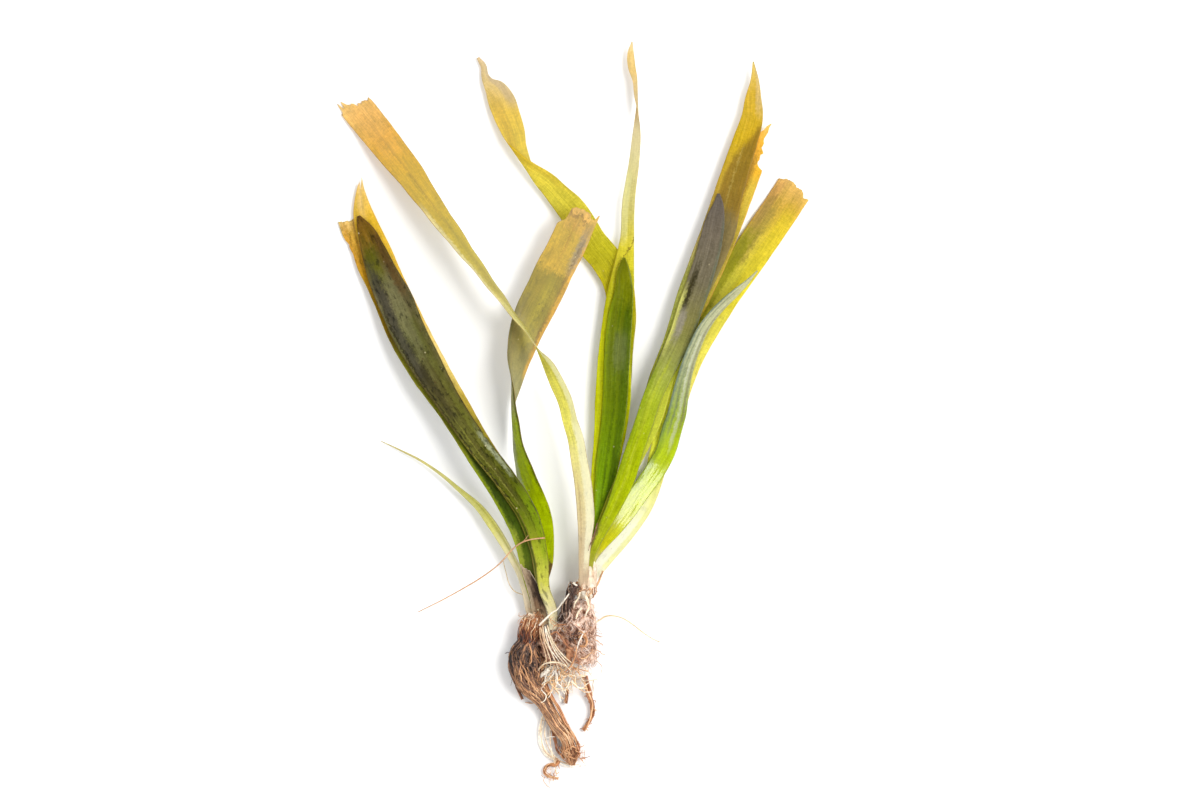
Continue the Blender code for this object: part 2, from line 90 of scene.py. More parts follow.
# Roughness, as pairs of a spacing and a weight
TORN_ROUGHNESS = ((0.34, 1.0), (0.16, 0.7), (0.07, 0.6))
EDGE_ROUGHNESS = ((2.0, 0.012), (11.0, 0.016))

# Roots
ROUND = (0.0, 2 * np.pi)
ROOT_GAP = 0.02
CLUMP_REACH = 0.05
BLUNTNESS = 5
RARE_HEADING = np.array([0.31, 0.17, 0.93])
LEFT_SEED = 41
RIGHT_SEED = 43
THREAD_SEED = 47

# Heights over the table that the leaves arch to: pairs of y and height
ARCHES = {
    "left_stack": [
        (3.0, 4.6), (8.4, 4.0), (14, 5.8), (22, 8.6), (30, 10.4), (40, 11.4), (50, 11.2), (60, 10.0),
        (72, 8.0), (84, 5.8), (96, 3.6), (108, 1.8), (118, 0.7), (125, RESTING_HEIGHT),
        (140, RESTING_HEIGHT),
    ],
    "left_folded": [
        (8.4, 2.6), (14, 3.9), (22, 5.6), (30, 6.6), (40, 7.0), (48, 7.0), (58, 7.0), (70, 7.0), (85, 7.4),
        (97, 8.0), (110, 9.0), (130, 10.0),
    ],
    "left_young": [(8.4, 3.3), (15, 4.6), (20, 5.4), (30, 5.4), (40, 4.2), (50, 2.4), (60, 0.7)],
    "right_golden": [
        (17, 8.3), (30, 9.2), (48, 11.0), (66, 12.6), (80, 13.2), (95, 13.2), (104, 12.4), (113, 11.0),
        (122, 9.3), (131, 7.2), (140, 4.9), (147, 3.1), (152, 1.9), (156, 1.0), (160, 0.4), (164, 0.3),
    ],
    "right_inner": [
        (17, 3.5), (36, 3.5), (60, 2.9), (100, 2.8), (112, 3.2), (125, 3.6), (150, 2.8), (180, 1.6),
    ],
    "right_curled": [
        (17, 3.5), (36, 3.5), (60, 2.9), (100, 2.7), (110, 2.3), (120, 1.9), (130, 2.0), (135, 2.7),
        (139, 3.8), (143, 4.6), (147, 4.6), (151, 4.2), (156, 3.6), (162, 3.1), (168, 2.8), (174, 2.0),
    ],
    "right_outer": [
        (17, 5.9), (36, 5.9), (50, 6.0), (70, 5.8), (90, 5.3), (110, 4.4), (130, 3.4), (150, 2.6),
        (174, 2.2),
    ],
    "right_wide": [
        (17, 1.9), (36, 1.9), (60, 2.2), (85, 2.4), (100, 2.1), (112, 1.5), (122, 0.9), (130, 0.45),
        (137, RESTING_HEIGHT),
    ],
    "right_silver": [
        (17, 2.7), (22, 4.4), (27, 6.1), (32, 6.5), (38, 5.3), (44, 4.0), (50, 2.9), (56, 2.5), (64, 3.9),
        (75, 6.3), (90, 7.0), (100, 6.4), (111, 5.6),
    ],
}

# Each leaf hangs on an arch, some layers up. Its stations run from the base to the tip: x and y of its
# middle and its width. A fourth value is its roll in degrees, where 90 stands on edge with the base's right
# side up, and a fifth is how far an edge curls up from there, in degrees.
# A torn end's profile is pairs of where across the blade (-1 to 1) and how far it falls short. Jag is how
# rough it is. Wave is the height and the length of the ripples along the edges. Bitten is the side that
# lacks a strip, and pairs of the distance from the tip and where across the blade still reaches.
# A fold is the start of its line, the line's heading and the bend's radius: what is past it lies underneath.
LEAVES = {
    "left_dark_leaf": {
        "arch": "left_stack", "layer": 2, "wave": (0.10, 23),
        "stations": [
            (-1.9, 3.2, 2.6), (-2.4, 9.3, 3.2), (-4.5, 15, 3.4), (-5.4, 24, 4.0), (-9, 37.5, 5.4),
            (-16.4, 48.6, 6.5), (-25.3, 59.9, 6.7), (-33.4, 71.8, 7.4), (-40.6, 83.8, 9.5),
            (-46.2, 94.4, 10.4), (-49.4, 102, 10.6), (-52.6, 108.3, 9.5), (-56.0, 117.0, 7.2),
            (-57.9, 122, 5.4), (-59.6, 125.4, 2.8), (-60.4, 127.2, 0.9),
        ],
        "bitten": (1, [(0, 1), (75.9, 1), (76.6, 0.8), (77.3, 1), (400, 1)]),
    },
    "left_pointed_leaf": {
        "arch": "left_stack", "layer": 1, "wave": (0.10, 31), "jag": 0.8,
        "torn": [(-1, 2.6), (-0.5, 1.4), (-0.1, 3.6), (0.2, 2.2), (0.6, 0.2), (1, 0.6)],
        "stations": [
            (-3.6, 9.3, 3.0), (-5.4, 18, 3.6), (-6.6, 27, 4.4), (-10.2, 38, 5.4), (-16.2, 47.7, 6.0),
            (-24.0, 59.6, 6.2), (-31.3, 70.6, 8.1), (-37.7, 80.8, 9.3), (-47.0, 98.8, 9.1),
            (-51.2, 107.7, 8.9), (-55.0, 116.8, 8.7), (-57.7, 123.5, 7.4), (-59.1, 128.4, 5.8),
            (-59.7, 133.2, 3.4), (-59.8, 136.2, 1.8), (-59.8, 138.9, 1.0),
        ],
    },
    "left_torn_leaf": {
        "arch": "left_stack", "layer": 0, "wave": (0.15, 27), "jag": 0.9,
        "torn": [(-1, 0), (-0.5, 0.5), (0, 0.8), (0.5, 1.9), (1, 2.3)],
        "stations": [
            (-6.0, 9.3, 4.2), (-8.3, 18.6, 5.2), (-10.5, 31, 7.0), (-16.4, 44.1, 8.0), (-23.9, 56.1, 8.4),
            (-31.7, 68.6, 8.8), (-40.5, 80.8, 9.0), (-47, 92, 9.3), (-51.7, 103.4, 9.3),
            (-59.3, 119.4, 9.3), (-62.4, 127.2, 9.3),
        ],
        "bitten": (-1, [
            (0, 0.97), (4.4, 1.0), (6.6, 0.94), (7.4, 0.82), (8.6, 0.9), (10.6, 0.86), (13.0, 0.95),
            (15.0, 1), (400, 1),
        ]),
    },
    "left_folded_leaf": {
        "arch": "left_folded", "layer": 0, "wave": (0.25, 29), "jag": 0.9,
        "torn": [
            (-1, 0.0), (-0.92, 0.3), (-0.84, 1.8), (-0.6, 2.0), (-0.5, 0.4), (0, 0.0), (0.3, 0.5),
            (0.6, 1.2), (0.64, 4.6), (0.91, 6.4), (1, 7.3),
        ],
        "stations": [
            (-4.6, 9.3, 2.2), (-4.6, 18, 2.4), (-4.3, 23, 4.4), (-4.8, 30, 6.2), (-5.7, 36, 7.0),
            (-7.5, 42, 7.2, 24), (-9.9, 48, 7.5, 40, -8), (-11.7, 53.4, 7.8, 54, -14),
            (-13.0, 58.5, 8.1, 66, -22), (-14.0, 64.5, 8.6, 76, -28), (-14.5, 72, 9.0, 92, -32),
            (-13.6, 79.5, 9.6, 117, -26), (-12.3, 85.5, 10.0, 138, -14), (-10.5, 91.5, 10.4, 156, -6),
            (-8.1, 97.5, 11.1, 172), (-5.1, 103.5, 11.4, 180), (-1.5, 111, 11.4, 180),
            (2.4, 118.5, 11.1, 180), (5.4, 125.4, 10.8, 180), (7.2, 129.3, 10.8, 180),
        ],
    },
    "left_young_leaf": {
        "arch": "left_young", "layer": 0, "wave": (0.10, 17),
        "stations": [
            (-8.6, 6.2, 1.8), (-9.4, 9.3, 1.8), (-10.5, 15, 2.0), (-12.0, 20.1, 2.1), (-14.4, 24.9, 2.3),
            (-17.1, 29.7, 2.6), (-20.4, 34.8, 2.7), (-24, 39.6, 2.3), (-30, 45, 1.4), (-36, 50, 0.9),
            (-42, 54, 0.7), (-48, 57, 0.5), (-53.7, 59.7, 0.2),
        ],
    },
    "left_old_sheath": {
        "arch": "left_stack", "layer": 1, "wave": (0.15, 9), "jag": 1.0,
        "torn": [(-1, 0.4), (-0.6, 0), (-0.2, 1.6), (0.3, 2.4), (1, 3.6)],
        "stations": [
            (-5.2, 4.6, 3.6, 0, 14), (-6.0, 7.8, 4.2, 0, 14), (-6.9, 12, 3.9, 0, 10),
            (-8.3, 16.5, 3.4, 0, 10), (-10.0, 20.4, 2.5), (-11.2, 23.4, 1.7),
        ],
    },
    "right_golden_leaf": {
        "arch": "right_golden", "layer": 0, "wave": (0.25, 37), "jag": 1.5,
        "torn": [
            (-1, 6.4), (-0.95, 5.0), (-0.7, 5.6), (-0.45, 4.9), (-0.1, 4.7), (0.0, 3.0), (0.3, 2.4),
            (0.46, 1.4), (0.52, 0.0), (0.58, 1.6), (0.66, 2.8), (0.72, 0.6), (0.78, 0.2), (0.85, 3.4),
            (1, 3.9),
        ],
        "stations": [
            (7.0, 16.2, 2.6), (7.2, 24, 3.2), (7.5, 30, 3.9), (7.8, 36, 5.0, 5), (7.5, 42, 5.3, 15),
            (6.8, 48, 5.4, 22), (5.9, 54, 5.4, 25), (4.9, 60, 5.4, 27), (3.2, 66, 5.3, 31),
            (1.7, 71.4, 5.3, 34), (-0.7, 77, 5.4, 38), (-3.8, 82.8, 5.5, 58), (-6.6, 87.3, 5.5, 86),
            (-10.2, 93, 5.7, 98), (-13.8, 97.8, 5.9, 104), (-18.9, 104.4, 6.4, 114),
            (-25.5, 113.1, 7.1, 123), (-32.1, 122.1, 7.7, 134), (-38.7, 131.1, 8.4, 142),
            (-45, 139.8, 9.0, 159), (-51, 147.3, 9.5, 170), (-54.3, 151.5, 9.8, 176),
            (-61.2, 159.9, 9.9, 180), (-63.9, 163.2, 9.9, 180),
        ],
    },
    "right_long_leaf": {
        "arch": "right_inner", "layer": 1, "wave": (0.12, 19),
        "stations": [
            (7.8, 17.0, 2.5), (8.3, 21, 2.6), (9.9, 30, 3.0), (11.7, 39, 4.3), (12.9, 48, 7.2),
            (14.7, 60, 9.3), (15.9, 72, 10.8), (16.2, 84, 9.9), (17.1, 96, 8.7), (18.3, 105, 7.8),
            (19.5, 114, 5.8, 15), (20.1, 120, 5.0, 32), (20.7, 132, 4.6, 35), (21.6, 138.6, 4.4, 42),
            (22.5, 145.5, 4.2, 47), (23, 150.6, 4.0, 50), (23.1, 154.5, 3.7, 61), (23.4, 159, 3.4, 84, 34),
            (23.1, 163.5, 3.1, 110, 34), (22.5, 168, 2.9, 122), (21.6, 171.6, 2.6, 150),
            (21.2, 175.5, 2.1, 175), (21.6, 179.4, 0.4, 180),
        ],
    },
    "right_rounded_leaf": {
        "arch": "right_inner", "layer": 2, "wave": (0.15, 21),
        "stations": [
            (8.0, 17.6, 2.3), (9.6, 27, 2.4), (11.4, 34.5, 2.7), (12.6, 42, 4.5), (13.9, 51, 6.5, 5),
            (15.1, 60, 7.0, 6), (16.3, 69, 7.4, 6), (16.8, 78, 7.7, 6), (17.2, 87, 7.8, 5),
            (18, 96, 7.3, 2), (19.2, 105, 5.4), (19.1, 111, 3.6), (19.2, 114.6, 0.8),
        ],
    },
    "right_curled_leaf": {
        "arch": "right_curled", "layer": 0, "wave": (0.20, 33),
        "stations": [
            (8.1, 17.6, 2.4), (9.2, 27, 2.6), (11.4, 36, 3.4), (13.5, 48, 5.4), (15.6, 60, 6.6),
            (17.4, 72, 7.2), (18, 87, 7.8), (18.6, 99, 8.4), (17.1, 108, 9.0), (13.8, 114, 9.3),
            (9.6, 119.1, 9.3), (6.2, 124.8, 9.0), (2.7, 130.0, 8.3), (0.3, 132.6, 7.3), (-4.0, 137.2, 6.1),
            (-10.4, 141.3, 5.6), (-16.1, 145.7, 5.8), (-19.8, 148.2, 6.9), (-23.6, 151.6, 7.8),
            (-27.6, 155.2, 8.0), (-30.0, 158.2, 6.2), (-31.2, 160.8, 3.2), (-32.8, 162.4, 2.5, 0, 60),
            (-35.0, 163.6, 2.1, 0, 60), (-36.9, 166.2, 0.8),
        ],
        "fold": ((0.6, 126.1), (-0.567, 0.824), 0.45),
    },
    "right_tall_leaf": {
        "arch": "right_outer", "layer": 1, "wave": (0.12, 41),
        "stations": [
            (8.1, 17.6, 2.3), (9.6, 26.4, 2.6), (12.3, 33, 3.6), (16.5, 42, 5.1), (21.8, 54, 5.3),
            (26.8, 66, 7.2), (30.4, 78, 7.6), (35.1, 90, 7.8), (39, 102, 8.7), (44.1, 114, 9.9),
            (47.55, 123, 10.2), (50.0, 132, 8.9), (52.7, 141, 8.0), (55.6, 150, 7.4), (57.6, 156.6, 6.6),
            (57.9, 162, 5.1), (58.35, 168, 2.5), (57.9, 173.4, 0.4),
        ],
    },
    "right_grey_tipped_leaf": {
        "arch": "right_outer", "layer": 2, "wave": (0.12, 25),
        "stations": [
            (8.0, 17.6, 2.3), (9.9, 27, 2.5), (12.3, 32.4, 3.3), (15.6, 39, 4.2), (19.4, 48, 5.8),
            (22.3, 57, 5.6), (24.9, 64.5, 5.6), (27.9, 73.5, 5.7), (32.1, 82.5, 6.2), (36.3, 91.5, 7.2),
            (39.3, 100.5, 7.5), (41.4, 106.5, 7.5), (43.8, 114, 7.2), (45.3, 120, 6.9), (46.5, 126, 5.7),
            (47.4, 130.5, 3.2), (47.5, 133.8, 0.8),
        ],
    },
    "right_orange_leaf": {
        "arch": "right_outer", "layer": 0, "wave": (0.12, 35), "jag": 0.7,
        "torn": [(-1, 9.0), (-0.3, 6.0), (0.4, 3.4), (0.7, 1.8), (0.88, 0.6), (1, 0)],
        "bitten": (1, [
            (0, 0.82), (1.2, 0.68), (3.0, 0.66), (3.8, 0.57), (5.3, 0.44), (6.4, 0.56), (7.7, 0.47),
            (9.0, 0.74), (9.8, 0.56), (11.3, 0.61), (12.2, 0.5), (13.2, 0.66), (14.0, 1.0), (400, 1),
        ]),
        "stations": [
            (8.1, 17.6, 2.3), (9.6, 26.4, 2.5), (12.3, 33, 3.3), (16.5, 42, 4.5), (21.6, 54, 3.6),
            (26.2, 66, 4.6), (29.8, 78, 5.0), (34.9, 90, 5.8), (40.5, 102, 7.8), (44.4, 111.6, 9.0),
            (48, 120, 9.3), (51.3, 129, 9.6), (54, 136.5, 9.6), (56.4, 142.5, 9.3), (59.1, 150, 8.4),
            (60.6, 155.6, 7.5),
        ],
    },
    "right_wide_leaf": {
        "arch": "right_wide", "layer": 0, "wave": (0.16, 39), "jag": 0.9,
        "torn": [(-1, 1.4), (-0.7, 0.2), (-0.3, 0.0), (0.1, 1.1), (0.4, 0.9), (0.7, 2.0), (1, 1.8)],
        "stations": [
            (8.6, 17.8, 3.4), (14.1, 24.9, 4.2), (18.6, 30, 4.2), (22.5, 35.1, 4.2), (25.8, 40.5, 4.3),
            (27.9, 46.5, 4.8), (29.1, 52.5, 6.0), (31.2, 60, 6.8), (33.9, 69, 6.8), (36.6, 78, 7.3),
            (39.9, 87, 8.4), (44.4, 95.4, 9.0), (48.6, 102.6, 9.6), (53.1, 109.5, 10.2),
            (57.6, 116.4, 10.8), (62.4, 123.6, 11.1), (66.6, 129.9, 11.1), (71.1, 136.6, 11.1),
        ],
    },
    "right_silver_leaf": {
        "arch": "right_silver", "layer": 0, "wave": (0.10, 27),
        "stations": [
            (8.3, 17.7, 2.3), (10.2, 25.2, 2.4), (12.9, 29.1, 3.3, -6), (16.5, 33.6, 4.5, -11, 1),
            (20.4, 39, 5.4, -15, 1), (24.3, 45, 6.0, -15, 1), (28.2, 50.4, 6.3, -14, 1),
            (31.6, 56.4, 6.1, -9), (33.3, 62.4, 6.2, -10), (35.1, 68.4, 5.8, -16), (36, 73.5, 5.5, -26),
            (37.2, 78.6, 5.3, -35), (38.7, 84, 5.2, -41), (40.5, 88.5, 5.1, -45), (42.6, 93, 4.8, -46),
            (45.3, 96.9, 4.3, -46), (48.6, 100.5, 3.8, -45), (52.5, 104.1, 3.0, -42),
            (56.1, 107.4, 1.7, -40), (59.1, 110.7, 0.4, -40),
        ],
    },
}

# How each leaf is coloured. Down the blade: pairs of y and colour. Margin: colour, width and strength.
# Bands lie on it: from y to y and from across to across, a colour, a strength and perhaps a slant. Thin is
# how much light the leaf lets through, and blotch how uneven its colour is.
LOOKS = {
    "left_dark_leaf": {
        "thin": 0.30, "blotch": 0.9, "specks": 0.7, "flecks": 0.8, "margin": ((84, 62, 34), 0.45, 0.7),
        "down": [
            (3, (250, 240, 210)), (9, (240, 230, 186)), (17, (210, 208, 86)), (26, (176, 186, 46)),
            (36, (112, 126, 18)), (47, (86, 92, 12)), (60, (106, 106, 40)), (76, (98, 92, 46)),
            (90, (104, 104, 58)), (104, (116, 110, 74)), (115, (100, 88, 30)), (122, (124, 94, 20)),
            (127, (116, 82, 26)),
        ],
        "bands": [
            (102, 121, 0.4, 0.95, (88, 62, 28), 0.75), (106, 118, -0.8, 0.1, (90, 92, 10), 0.7),
            (82, 104, 0.5, 0.9, (84, 74, 42), 0.6), (78, 112, -0.86, -0.3, (64, 60, 52), 0.8),
            (66, 84, -0.66, -0.12, (56, 50, 26), 0.7), (62, 100, 0.15, 0.32, (66, 60, 24), 0.5),
            (62, 96, 0.3, 0.75, (98, 106, 6), 0.25), (86, 110, -0.2, 0.4, (122, 120, 80), 0.5),
            # (49, 61, 0.5, 0.84) is a painted sheen: a pale streak that stands in for the lamp's reflection
            # on the wet blade.
            (40, 62, -0.5, 0.0, (74, 66, 30), 0.5), (49, 61, 0.5, 0.84, (182, 188, 156), 0.6),
            # (40, 100, -0.88, -0.76) is a painted shadow: a dark line just inside the left edge.
            (22, 62, -1.2, -0.9, (150, 146, 50), 0.8), (40, 100, -0.88, -0.76, (40, 34, 12), 0.8),
            (40, 66, -0.42, -0.34, (150, 150, 60), 0.6), (34, 62, 0.02, 0.12, (52, 52, 12), 0.6),
            (24, 44, 0.2, 1.0, (132, 160, 12), 0.5),
        ],
    },
    "left_pointed_leaf": {
        "thin": 0.50, "blotch": 0.5, "specks": 0.2, "flecks": 0.15, "margin": ((196, 142, 72), 0.3, 0.6),
        "down": [
            (9, (200, 200, 100)), (30, (110, 130, 30)), (48, (124, 132, 20)), (57, (160, 148, 36)),
            (70, (214, 190, 78)), (86, (246, 226, 150)), (100, (246, 214, 90)), (125, (238, 202, 60)),
            (134, (240, 210, 116)), (139, (246, 226, 176)),
        ],
        "bands": [(128, 139, -0.5, 0.2, (240, 214, 150), 0.5)],
    },
    "left_torn_leaf": {
        "thin": 0.45, "blotch": 0.8, "specks": 0.3, "flecks": 0.5, "veins": 0.6,
        "margin": ((168, 160, 60), 0.3, 0.6),
        "down": [
            (9, (96, 84, 56)), (18, (100, 108, 34)), (30, (80, 102, 14)), (46, (62, 80, 8)),
            (62, (80, 92, 26)), (84, (108, 100, 40)), (98, (166, 132, 26)), (112, (218, 170, 40)),
            (122, (234, 190, 76)), (127.2, (244, 214, 140)),
        ],
        "bands": [
            (14, 62, -1.2, -0.8, (152, 170, 34), 0.85), (12, 34, -1.2, -0.5, (176, 188, 66), 0.85),
            (114, 125, -1.2, -0.6, (206, 144, 50), 0.4), (12, 17, -0.6, 1.2, (56, 44, 30), 0.8),
            (56, 90, -1.2, -0.7, (150, 150, 40), 0.6),
        ],
    },
    "left_folded_leaf": {
        "thin": 0.50, "blotch": 0.7, "specks": 0.8, "flecks": 0.3, "margin": ((176, 128, 60), 0.25, 0.6),
        "down": [
            (9, (170, 160, 70)), (16, (190, 196, 30)), (26, (188, 206, 0)), (40, (186, 204, 0)),
            (52, (172, 190, 0)), (66, (160, 176, 20)), (70, (156, 154, 90)), (76, (166, 160, 104)),
            (86, (166, 154, 80)), (98, (164, 148, 40)), (109.4, (168, 146, 28)), (111.2, (212, 178, 48)),
            (122, (216, 184, 56)), (130, (232, 192, 100)),
        ],
        "bands": [
            (80, 122, -1.2, -0.78, (238, 186, 60), 0.9), (44, 98, 0.84, 1.2, (76, 88, 6), 0.9),
            (113, 124, -0.9, -0.5, (176, 160, 144), 0.85), (122, 126, -0.9, 0.6, (204, 158, 76), 0.4),
            (88, 108, -0.35, 0.1, (196, 182, 40), 0.5), (104, 121, -0.8, -0.66, (124, 86, 44), 0.5),
            (88, 100, -0.85, -0.7, (120, 80, 30), 0.6), (82, 100, 0.5, 1.0, (140, 120, 70), 0.4),
            (56, 71, -1.2, -0.15, (150, 152, 116), 0.9), (40, 58, -1.2, -0.45, (176, 184, 140), 0.9),
            # (125.8, 126.8) is painted shade: a dark line along the crease where the end folds under.
            (126.8, 131, -0.6, 0.66, (236, 192, 104), 0.9), (125.8, 126.8, -0.6, 0.66, (150, 104, 52), 0.7),
            (114, 126, 0.0, 0.12, (178, 130, 40), 0.5), (19.5, 23.6, -0.2, 1.2, (104, 66, 54), 0.9),
        ],
    },
    "left_young_leaf": {
        "thin": 0.45, "blotch": 0.3, "specks": 0.2, "flecks": 0.1, "margin": ((150, 132, 66), 0.22, 0.6),
        "down": [
            (6, (224, 206, 176)), (14, (250, 238, 214)), (24, (254, 246, 212)), (34, (240, 236, 146)),
            (45, (216, 214, 134)), (60, (208, 196, 132)),
        ],
        "bands": [(20, 48, 0.1, 0.6, (206, 200, 76), 0.5)],
    },
    "left_old_sheath": {
        "thin": 0.35, "blotch": 1.0, "specks": 0.9, "flecks": 0.9, "veins": 1.0,
        "margin": ((220, 204, 174), 0.3, 0.8),
        "down": [
            (4, (220, 196, 156)), (8, (166, 136, 104)), (12, (104, 84, 66)), (17, (108, 88, 70)),
            (20, (160, 136, 110)), (24, (206, 186, 156)),
        ],
        "bands": [
            (9, 20, 0.15, 1.2, (54, 38, 28), 0.9), (6, 22, -1.2, -0.5, (196, 176, 146), 0.6),
            (7, 13, -0.5, 0.1, (150, 116, 86), 0.5),
        ],
    },
    "right_golden_leaf": {
        "thin": 0.55, "blotch": 0.5, "specks": 0.2, "flecks": 0.15, "veins": 0.6,
        "margin": ((160, 112, 54), 0.28, 0.7),
        "down": [
            (16, (222, 202, 174)), (30, (228, 212, 176)), (45, (240, 228, 176)), (60, (242, 236, 150)),
            (72, (236, 230, 116)), (80, (222, 216, 96)), (90, (198, 190, 76)), (102, (200, 188, 96)),
            (114, (196, 180, 54)), (126, (202, 176, 24)), (140, (212, 176, 8)), (150, (228, 180, 18)),
            (158, (252, 212, 116)), (164, (254, 226, 150)),
        ],
        "bands": [
            # The pale bands (22, 66) and (66, 88) on the base's right side are the blade's pale tissue with
            # painted light on top: that side is drawn paler as the side that faces the lamp.
            (100, 130, 0.72, 1.2, (236, 228, 180), 0.8), (22, 66, 0.0, 1.2, (252, 250, 226), 0.75),
            (66, 88, 0.3, 1.2, (246, 244, 206), 0.75), (60, 84, -1.2, 0.0, (238, 232, 112), 0.6),
            (22, 50, -0.7, -0.5, (206, 176, 120), 0.4), (122, 158, -0.07, 0.07, (160, 118, 10), 0.35),
            (104, 126, -0.5, 0.3, (176, 156, 20), 0.5), (84, 102, 0.1, 1.2, (228, 224, 166), 0.5),
            (146, 160, -0.8, 0.6, (246, 196, 96), 0.3),
        ],
    },
    "right_long_leaf": {
        "thin": 0.55, "blotch": 0.4, "specks": 0.1, "flecks": 0.1, "margin": ((166, 130, 60), 0.2, 0.6),
        "down": [
            (17, (220, 210, 150)), (34, (200, 206, 50)), (56, (222, 228, 10)), (84, (224, 226, 14)),
            (104, (206, 204, 26)), (118, (232, 222, 70)), (130, (224, 216, 140)), (146, (230, 222, 176)),
            (160, (218, 204, 172)), (170, (226, 196, 120)), (176, (232, 204, 128)), (180, (240, 224, 190)),
        ],
        "bands": [
            (120, 140, -1.2, 0.0, (232, 230, 176), 0.6), (40, 100, -0.9, -0.45, (186, 190, 16), 0.6),
            (115.0, 115.7, -0.6, 1.2, (126, 92, 40), 0.85, 4.7),
            (155, 167, -1.2, 1.2, (204, 176, 112), 0.6),
        ],
    },
    "right_rounded_leaf": {
        "thin": 0.30, "blotch": 0.4, "specks": 0.4, "flecks": 0.25, "veins": 0.7,
        "margin": ((150, 164, 30), 0.3, 0.5),
        "down": [
            (17, (140, 170, 40)), (34, (130, 168, 6)), (48, (126, 164, 4)), (72, (110, 130, 4)),
            (86, (106, 120, 24)), (98, (106, 118, 0)), (108, (118, 124, 0)), (115, (104, 106, 0)),
        ],
        "bands": [
            (34, 102, -0.2, -0.02, (72, 96, 0), 0.5), (34, 100, 0.3, 0.9, (66, 92, 0), 0.65),
            # (82, 92, -0.3, 0.7) is a painted sheen: a greyish patch that stands in for a reflection on the
            # blade.
            (30, 101, -1.2, -0.8, (140, 158, 6), 0.6), (82, 92, -0.3, 0.7, (118, 128, 70), 0.6),
        ],
    },
    "right_curled_leaf": {
        "thin": 0.55, "blotch": 0.5, "specks": 0.2, "flecks": 0.15, "veins": 0.6,
        "margin": ((190, 150, 70), 0.25, 0.6),
        "down": [
            (17, (210, 200, 130)), (40, (150, 160, 40)), (80, (160, 170, 16)), (104, (208, 198, 16)),
            (118, (214, 208, 50)), (132, (226, 216, 80)), (141, (232, 216, 84)), (148, (230, 206, 50)),
            (158, (240, 210, 64)), (168, (230, 208, 150)), (174, (226, 204, 166)),
        ],
        "bands": [
            (160, 172, -1.2, -0.3, (200, 180, 156), 0.6), (148, 164, 0.1, 0.8, (226, 190, 40), 0.5),
            (136, 150, 0.4, 1.2, (208, 180, 60), 0.4),
        ],
    },
    "right_tall_leaf": {
        "thin": 0.60, "blotch": 0.4, "specks": 0.15, "flecks": 0.1, "margin": ((176, 146, 78), 0.25, 0.6),
        "down": [
            (17, (210, 206, 120)), (34, (176, 184, 30)), (54, (200, 208, 60)), (78, (204, 208, 78)),
            (100, (212, 214, 114)), (118, (192, 178, 112)), (134, (206, 176, 66)), (150, (218, 190, 40)),
            (164, (216, 186, 66)), (174, (222, 202, 126)),
        ],
        "bands": [
            # (158, 173, 0.3, 1.2) is a painted sheen on the right of the tip. The slanted (104, 148) band is
            # painted shade: the blade is drawn darker where it lies over the torn ends of the leaves
            # beneath.
            (158, 173, 0.3, 1.2, (222, 202, 156), 0.55), (104, 148, -0.66, 1.2, (162, 130, 50), 0.75, 9.0),
            (104, 128, -0.4, 1.2, (156, 146, 108), 0.6), (112, 148, -0.06, 0.06, (212, 190, 96), 0.6),
            (76, 112, -0.8, -0.3, (196, 202, 104), 0.4), (40, 112, -1.2, -0.8, (120, 130, 30), 0.5),
            # (44, 94, 0.2, 1.2) is the lime right strip, drawn brighter than the rest of the blade as
            # painted light that lifts the shade falling on it.
            (44, 94, 0.2, 1.2, (226, 232, 84), 0.8),
        ],
    },
    "right_grey_tipped_leaf": {
        "thin": 0.25, "blotch": 0.5, "specks": 0.3, "flecks": 0.2, "veins": 0.7,
        "margin": ((96, 84, 70), 0.35, 0.5),
        "down": [
            (17, (190, 180, 90)), (27, (166, 174, 30)), (40, (168, 182, 2)), (60, (164, 180, 0)),
            (72, (164, 178, 40)), (84, (148, 152, 76)), (94, (128, 124, 66)), (108, (112, 104, 80)),
            (122, (110, 100, 84)), (134, (96, 88, 80)),
        ],
        "bands": [
            (98, 111, -0.72, -0.3, (48, 42, 8), 0.95), (86, 104, -1.2, -0.72, (214, 214, 110), 0.7),
            # (90, 98, -0.7, -0.1) is a painted sheen: a grey patch that stands in for a reflection.
            (90, 98, -0.7, -0.1, (156, 148, 140), 0.6), (30, 84, -0.12, 0.12, (196, 204, 50), 0.4),
            (27, 34, -1.2, -0.5, (104, 74, 60), 0.7), (34, 80, -1.2, -0.55, (124, 144, 8), 0.6),
            (82, 126, 0.8, 1.2, (92, 108, 84), 0.5),
        ],
    },
    "right_orange_leaf": {
        "thin": 0.60, "blotch": 0.5, "specks": 0.2, "flecks": 0.15, "veins": 0.4,
        "margin": ((232, 160, 70), 0.35, 0.6),
        "down": [
            (17, (200, 200, 120)), (50, (210, 214, 66)), (90, (204, 204, 76)), (118, (190, 162, 56)),
            (132, (224, 184, 50)), (142, (244, 200, 66)), (150, (248, 200, 80)), (156, (250, 214, 130)),
        ],
        "bands": [(104, 146, -0.9, 0.45, (158, 126, 66), 0.6), (104, 139, 0.45, 1.2, (228, 210, 92), 0.75)],
    },
    "right_wide_leaf": {
        "thin": 0.55, "blotch": 0.35, "specks": 0.15, "flecks": 0.15, "margin": ((200, 160, 80), 0.3, 0.6),
        "down": [
            (17, (254, 254, 244)), (34, (255, 255, 240)), (42, (250, 250, 196)), (48, (242, 242, 140)),
            (60, (248, 244, 140)), (76, (246, 240, 132)), (92, (238, 230, 104)), (108, (224, 218, 76)),
            (122, (234, 214, 80)), (130, (224, 192, 80)), (137, (236, 202, 120)),
        ],
        "bands": [
            # (48, 92, -1.2, -0.2) is the lime left strip, drawn brighter than the rest of the blade as
            # painted light that lifts the shade cast by the leaves above it.
